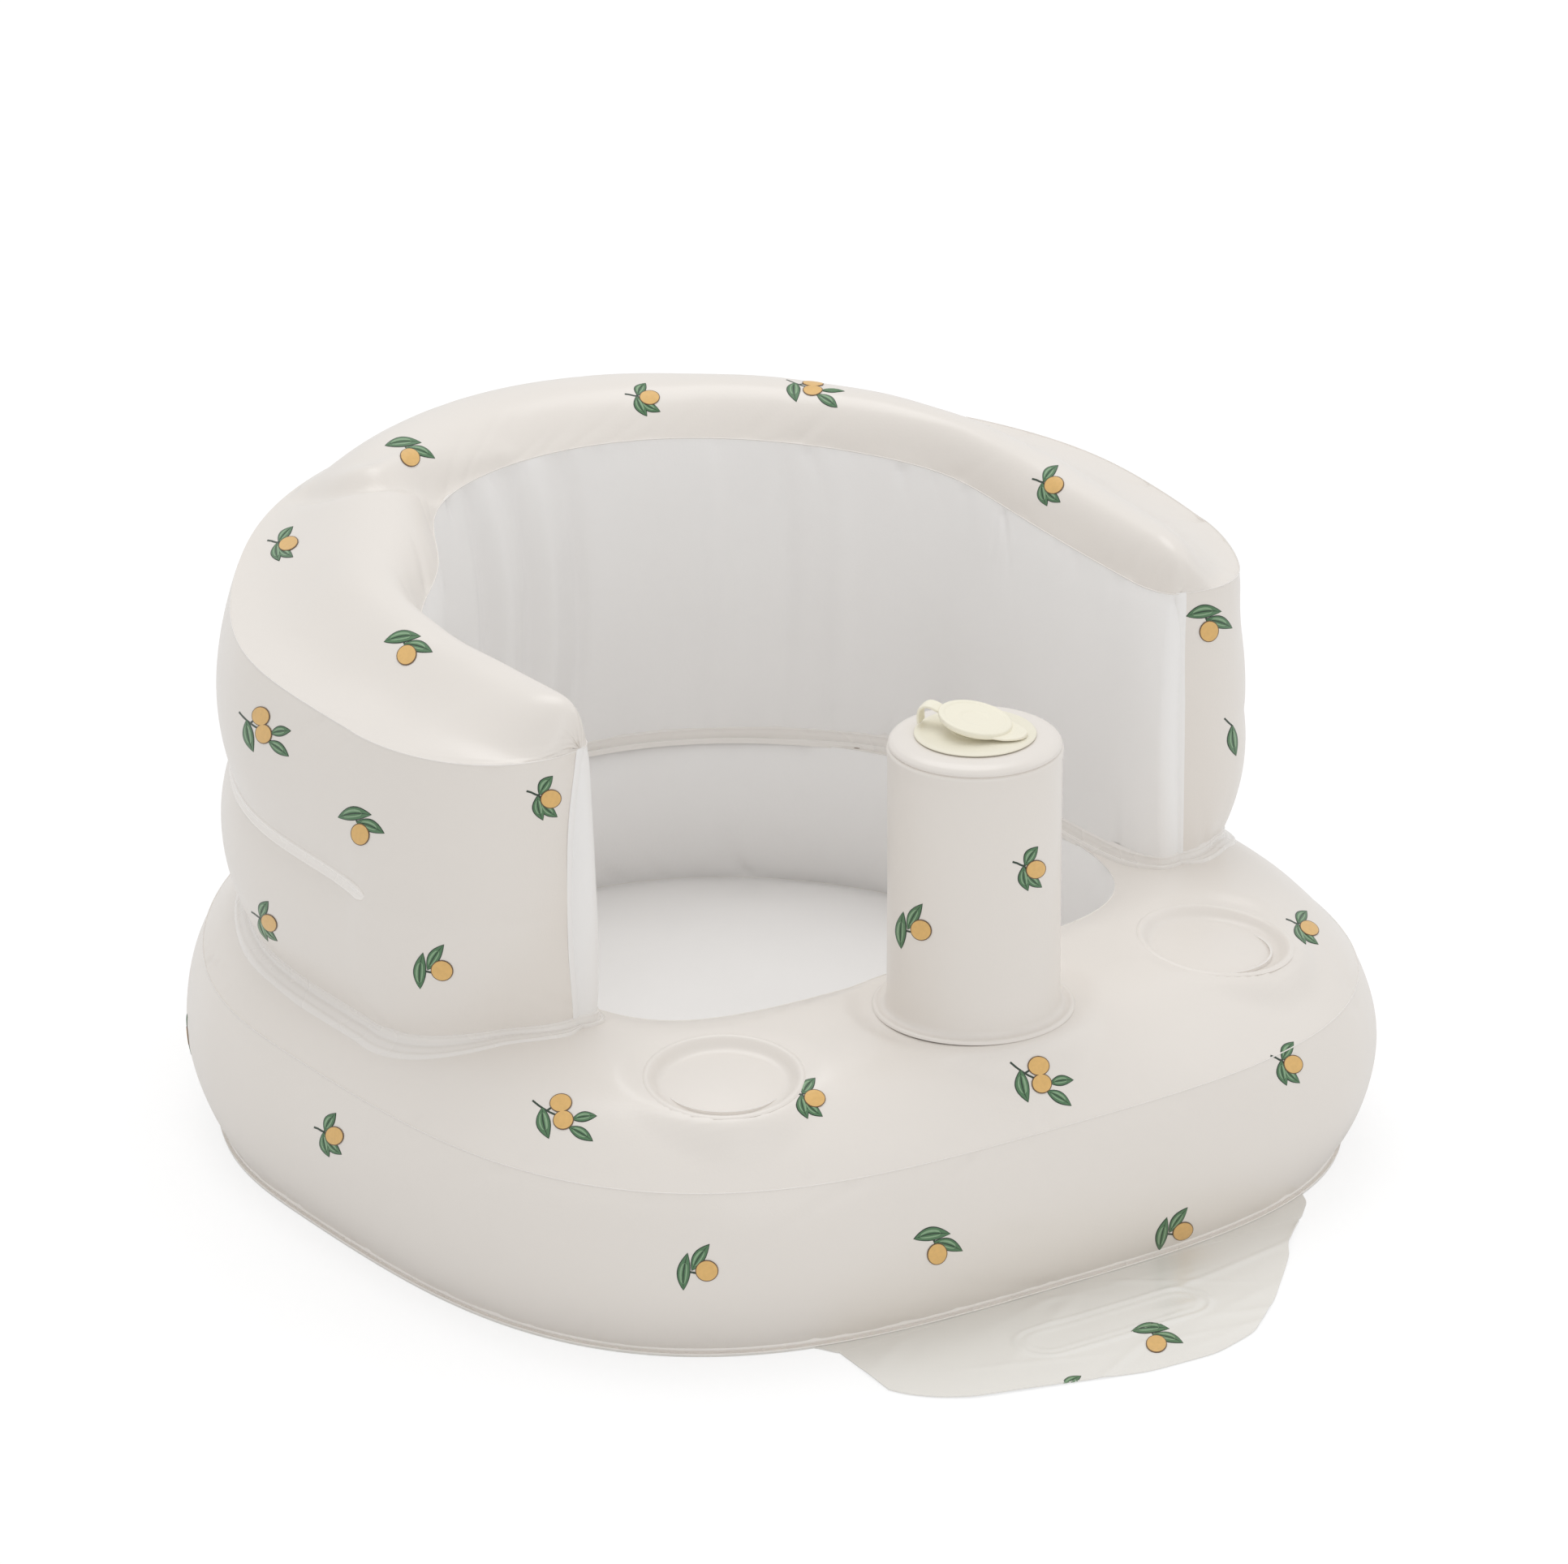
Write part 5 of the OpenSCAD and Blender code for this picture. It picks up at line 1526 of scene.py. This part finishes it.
    def inward_ray(self, rng):
        """A random ray at the seat, level from the side or from above, and the way up for its sprig."""
        turn, z = rng.uniform(-np.pi, np.pi), rng.uniform(*self.try_z)
        c, s = np.cos(turn), np.sin(turn)
        if z < self.arm_top:
            return Vector((self.ray_r * c, self.ray_r * s, z)), Vector((-c, -s, 0)), Vector((0, 0, 1))
        r = rng.uniform(*self.try_r)
        up = Vector((-c, -s, 0)) if s < 0 else Vector((c, s, 0))
        return Vector((r * c, r * s, self.ray_h)), Vector((0, 0, -1)), up

    def near_valve(self, p):
        low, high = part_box("air_release_valve")
        return (p - (low + high) / 2).length < self.valve_clearance

    def behind_sitter(self, p):
        """Whether the point lies where the person in the picture hides the film."""
        left, right = self.sitter_x
        return p.y > self.sitter_y and left < p.x < right and p.z > self.sitter_z

    def points(self, name, spots):
        """A mesh of points with the kind, the facing and the tilt of each sprig."""
        obj = mesh_object(name, [tuple(place) for place, _, _, _ in spots])
        kind = obj.data.attributes.new("kind", "INT", "POINT")
        facing = obj.data.attributes.new("facing", "FLOAT_VECTOR", "POINT")
        tilt = obj.data.attributes.new("tilt", "FLOAT_VECTOR", "POINT")
        for i, (_, out, up, k) in enumerate(spots):
            normal = out.normalized()
            side = up.cross(normal).normalized()
            turn = Matrix((side, normal.cross(side), normal)).transposed()
            kind.data[i].value = k
            facing.data[i].vector = out
            tilt.data[i].vector = turn.to_euler()
        return obj

    def leaf(self, x0, y0, x1, y1, width, arch, grow=0.0, low=-1.0, high=1.0, ends=(0.0, 1.0)):
        """A pointed oval, or the part of it between the shares low and high of its half width."""
        start, way = np.array([x0, y0]), np.array([x1 - x0, y1 - y0])
        length = np.linalg.norm(way)
        way = way / length
        t = np.linspace(*ends, 15)
        local = (t - ends[0]) / (ends[1] - ends[0])
        along = mix(-grow, length + grow, t)
        half = (width / 2.0 + grow) * np.sin(np.pi * t**0.92) ** 0.72 * np.sin(np.pi * local) ** 0.2 + 0.02
        lines = []
        for share in np.linspace(low, high, 5):
            across = share * half + arch * swell(t)
            lines.append(start + along[:, None] * way + across[:, None] * np.array([-way[1], way[0]]))
        return lines

    def disc(self, x, y, rx, ry):
        turn = np.linspace(0.0, 2.0 * np.pi, 25)
        rings = (0.0, 0.4, 0.75, 1.0)
        return [np.stack([x + q * rx * np.cos(turn), y + q * ry * np.sin(turn)], -1) for q in rings]

    def stroke(self, points, width):
        points = np.array(points, float)
        d = np.gradient(points, axis=0)
        n = np.stack([-d[:, 1], d[:, 0]], -1) / np.linalg.norm(d, axis=1, keepdims=True)
        return [points + s * width * n for s in (-0.5, 0.5)]

    def strips(self, layer, plan):
        """The flat strips, as lines of points, of one layer of a motif."""
        leaves, line = plan["leaves"], self.line_w
        if layer == "outline":
            rims = [self.leaf(*leaf, grow=line) for leaf in leaves]
            return rims + [self.stroke(stem, self.stem_w) for stem in plan["stems"]]
        if layer == "leaf":
            return [self.leaf(*leaf, low=a, high=b) for leaf in leaves for a, b in self.halves]
        if layer == "light":
            ends = self.streak_ends
            return [self.leaf(*leaf, low=a, high=b, ends=ends) for leaf in leaves for a, b in self.streaks]
        grow = line if layer == "rind" else 0.0
        return [self.disc(x, y, rx + grow, ry + grow) for x, y, rx, ry in plan["fruit"]]

    def motif(self, layer, k):
        """Flat shapes of one layer of a motif, as a mesh in metres."""
        vertices, faces = [], []
        for strip in self.strips(layer, self.motifs[k]):
            n = len(strip[0])
            for j, points in enumerate(strip):
                a = len(vertices)
                vertices += [(p[0] * MM, p[1] * MM, 0.0) for p in points]
                if j:
                    faces += [(a - n + i, a - n + i + 1, a + i + 1, a + i) for i in range(n - 1)]
        obj = mesh_object(f"{layer}_{k}", vertices, faces=faces)
        with edited(obj.data) as mesh:
            join_doubles(mesh)
            for face in mesh.faces:
                face.normal_update()
                if face.normal.z < 0:
                    face.normal_flip()
        return obj


class DressCarriedSolids(PieceOperator):
    """Gives the solids that stay their materials"""

    bl_idname = "floor_seat.carried_solids"
    bl_label = "Carried solids"

    looks = {
        "dimple_tie_left": "weld", "dimple_tie_right": "weld", "backrest_tie_band": "weld",
        "check_valve_seat": "soft valve", "check_valve_flap": "soft valve",
    }

    def make(self, scene):
        for name, material in self.looks.items():
            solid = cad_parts[name]
            solid.data.materials.clear()
            solid.data.materials.append(bpy.data.materials[material])


class MakeStage(PieceOperator):
    """Makes the floor, the lights, the sky and the camera"""

    bl_idname = "floor_seat.stage"
    bl_label = "Stage"

    # place and size of each light
    lamps = {
        "key": ((-0.5, -3.2, 1.6), 2.4), "fill": ((2.6, -0.9, 1.7), 2.2), "top": ((0.3, 0.9, 3.0), 2.4),
    }
    floor_size, floor_glow, glow_share = 6.0, 1.15, 0.62
    sensor_w, near, far = 36.0, 0.5, 50.0

    def make(self, scene):
        self.floor()
        for name, (at, size) in self.lamps.items():
            self.lamp(name, at, size, getattr(scene.seat_stage, name))
        self.sky(scene)
        self.camera(scene)

    def floor(self):
        a = self.floor_size
        floor = mesh_object("floor", [(-a, -a, 0), (a, -a, 0), (a, a, 0), (-a, a, 0)], faces=[(0, 1, 2, 3)])
        material, tree, shader = principled("pale floor")
        feed(tree, shader, {"Base Color": (0.86, 0.86, 0.86, 1.0), "Roughness": 0.8})
        glow = node(tree, "ShaderNodeEmission", {"Strength": self.floor_glow})
        seen = node(tree, "ShaderNodeLightPath").outputs["Is Camera Ray"]
        amount = node(tree, "ShaderNodeMath", {0: seen, 1: self.glow_share}, operation="MULTIPLY")
        parts = {"Fac": amount.outputs[0], 1: shader.outputs["BSDF"], 2: glow.outputs["Emission"]}
        mixed = node(tree, "ShaderNodeMixShader", parts)
        feed(tree, tree.nodes["Material Output"], {"Surface": mixed.outputs["Shader"]})
        floor.data.materials.append(material)

    def lamp(self, name, at, size, power):
        data = bpy.data.lights.new(name, "AREA")
        data.shape, data.size, data.energy = "DISK", size, power
        self.aim(new_object(name, data), at, Vector(at) - AIM, "Z")

    def aim(self, obj, at, way, axis):
        obj.location = at
        obj.rotation_mode = "QUATERNION"
        obj.rotation_quaternion = way.to_track_quat(axis, "Y")

    def sky(self, scene):
        """Even light from all round, and pure white where the camera looks."""
        scene.world = bpy.data.worlds.new("studio")
        scene.world.use_nodes = True
        tree = scene.world.node_tree
        tree.nodes.clear()
        white = (1.0, 1.0, 1.0, 1.0)
        even = node(tree, "ShaderNodeBackground", {"Color": white, "Strength": scene.seat_stage.sky})
        plain = node(tree, "ShaderNodeBackground", {"Strength": 1.0})
        seen = node(tree, "ShaderNodeLightPath").outputs["Is Camera Ray"]
        parts = {"Fac": seen, 1: even.outputs[0], 2: plain.outputs[0]}
        mixed = node(tree, "ShaderNodeMixShader", parts)
        node(tree, "ShaderNodeOutputWorld", {"Surface": mixed.outputs[0]})

    def camera(self, scene):
        data = bpy.data.cameras.new("camera")
        data.sensor_fit, data.sensor_width = "HORIZONTAL", self.sensor_w
        data.lens = FOCUS_PX / PICTURE[0] * self.sensor_w
        data.clip_start, data.clip_end = self.near, self.far
        eye, back = camera_place()
        scene.camera = new_object("camera", data)
        self.aim(scene.camera, eye, -back, "-Z")
        scene.view_settings.view_transform = "Standard"


class FloorSeatPanel(bpy.types.Panel):
    """Lists the operators that make the seat"""

    bl_idname = "VIEW3D_PT_floor_seat"
    bl_label = "Floor seat"
    bl_space_type = "VIEW_3D"
    bl_region_type = "UI"
    bl_category = "Floor seat"

    def draw(self, context):
        column = self.layout.column(align=True)
        for operator in PIECES:
            column.operator(operator.bl_idname)
        for name in SETTINGS:
            looks = getattr(context.scene, name)
            for key in looks.bl_rna.properties.keys():
                if key not in ("rna_type", "name"):
                    column.prop(looks, key)


SETTINGS = {
    "seat_film": FilmLooks, "seat_print": PrintLooks, "seat_valves": ValveLooks, "seat_stage": StageLooks,
}
PIECES = (
    MakeBaseFilm, MakeSeatFilm, MakeDimpleCups, MakeBackrestFilm, MakeWeldStrips, MakeSeamBeads,
    MakePumpPost, MakePlugValves, MakeFrontFlap, MakeSprigPrint, DressCarriedSolids, MakeStage,
)


def register():
    for kind in (*SETTINGS.values(), *PIECES, FloorSeatPanel):
        bpy.utils.register_class(kind)
    for name, kind in SETTINGS.items():
        setattr(bpy.types.Scene, name, PointerProperty(type=kind))


def unregister():
    for name in SETTINGS:
        delattr(bpy.types.Scene, name)
    for kind in reversed((*SETTINGS.values(), *PIECES, FloorSeatPanel)):
        bpy.utils.unregister_class(kind)


def main():
    register()
    make_materials()
    for piece in PIECES:
        group_name, operator = piece.bl_idname.split(".")
        getattr(getattr(bpy.ops, group_name), operator)()


if __name__ == "__main__":
    main()
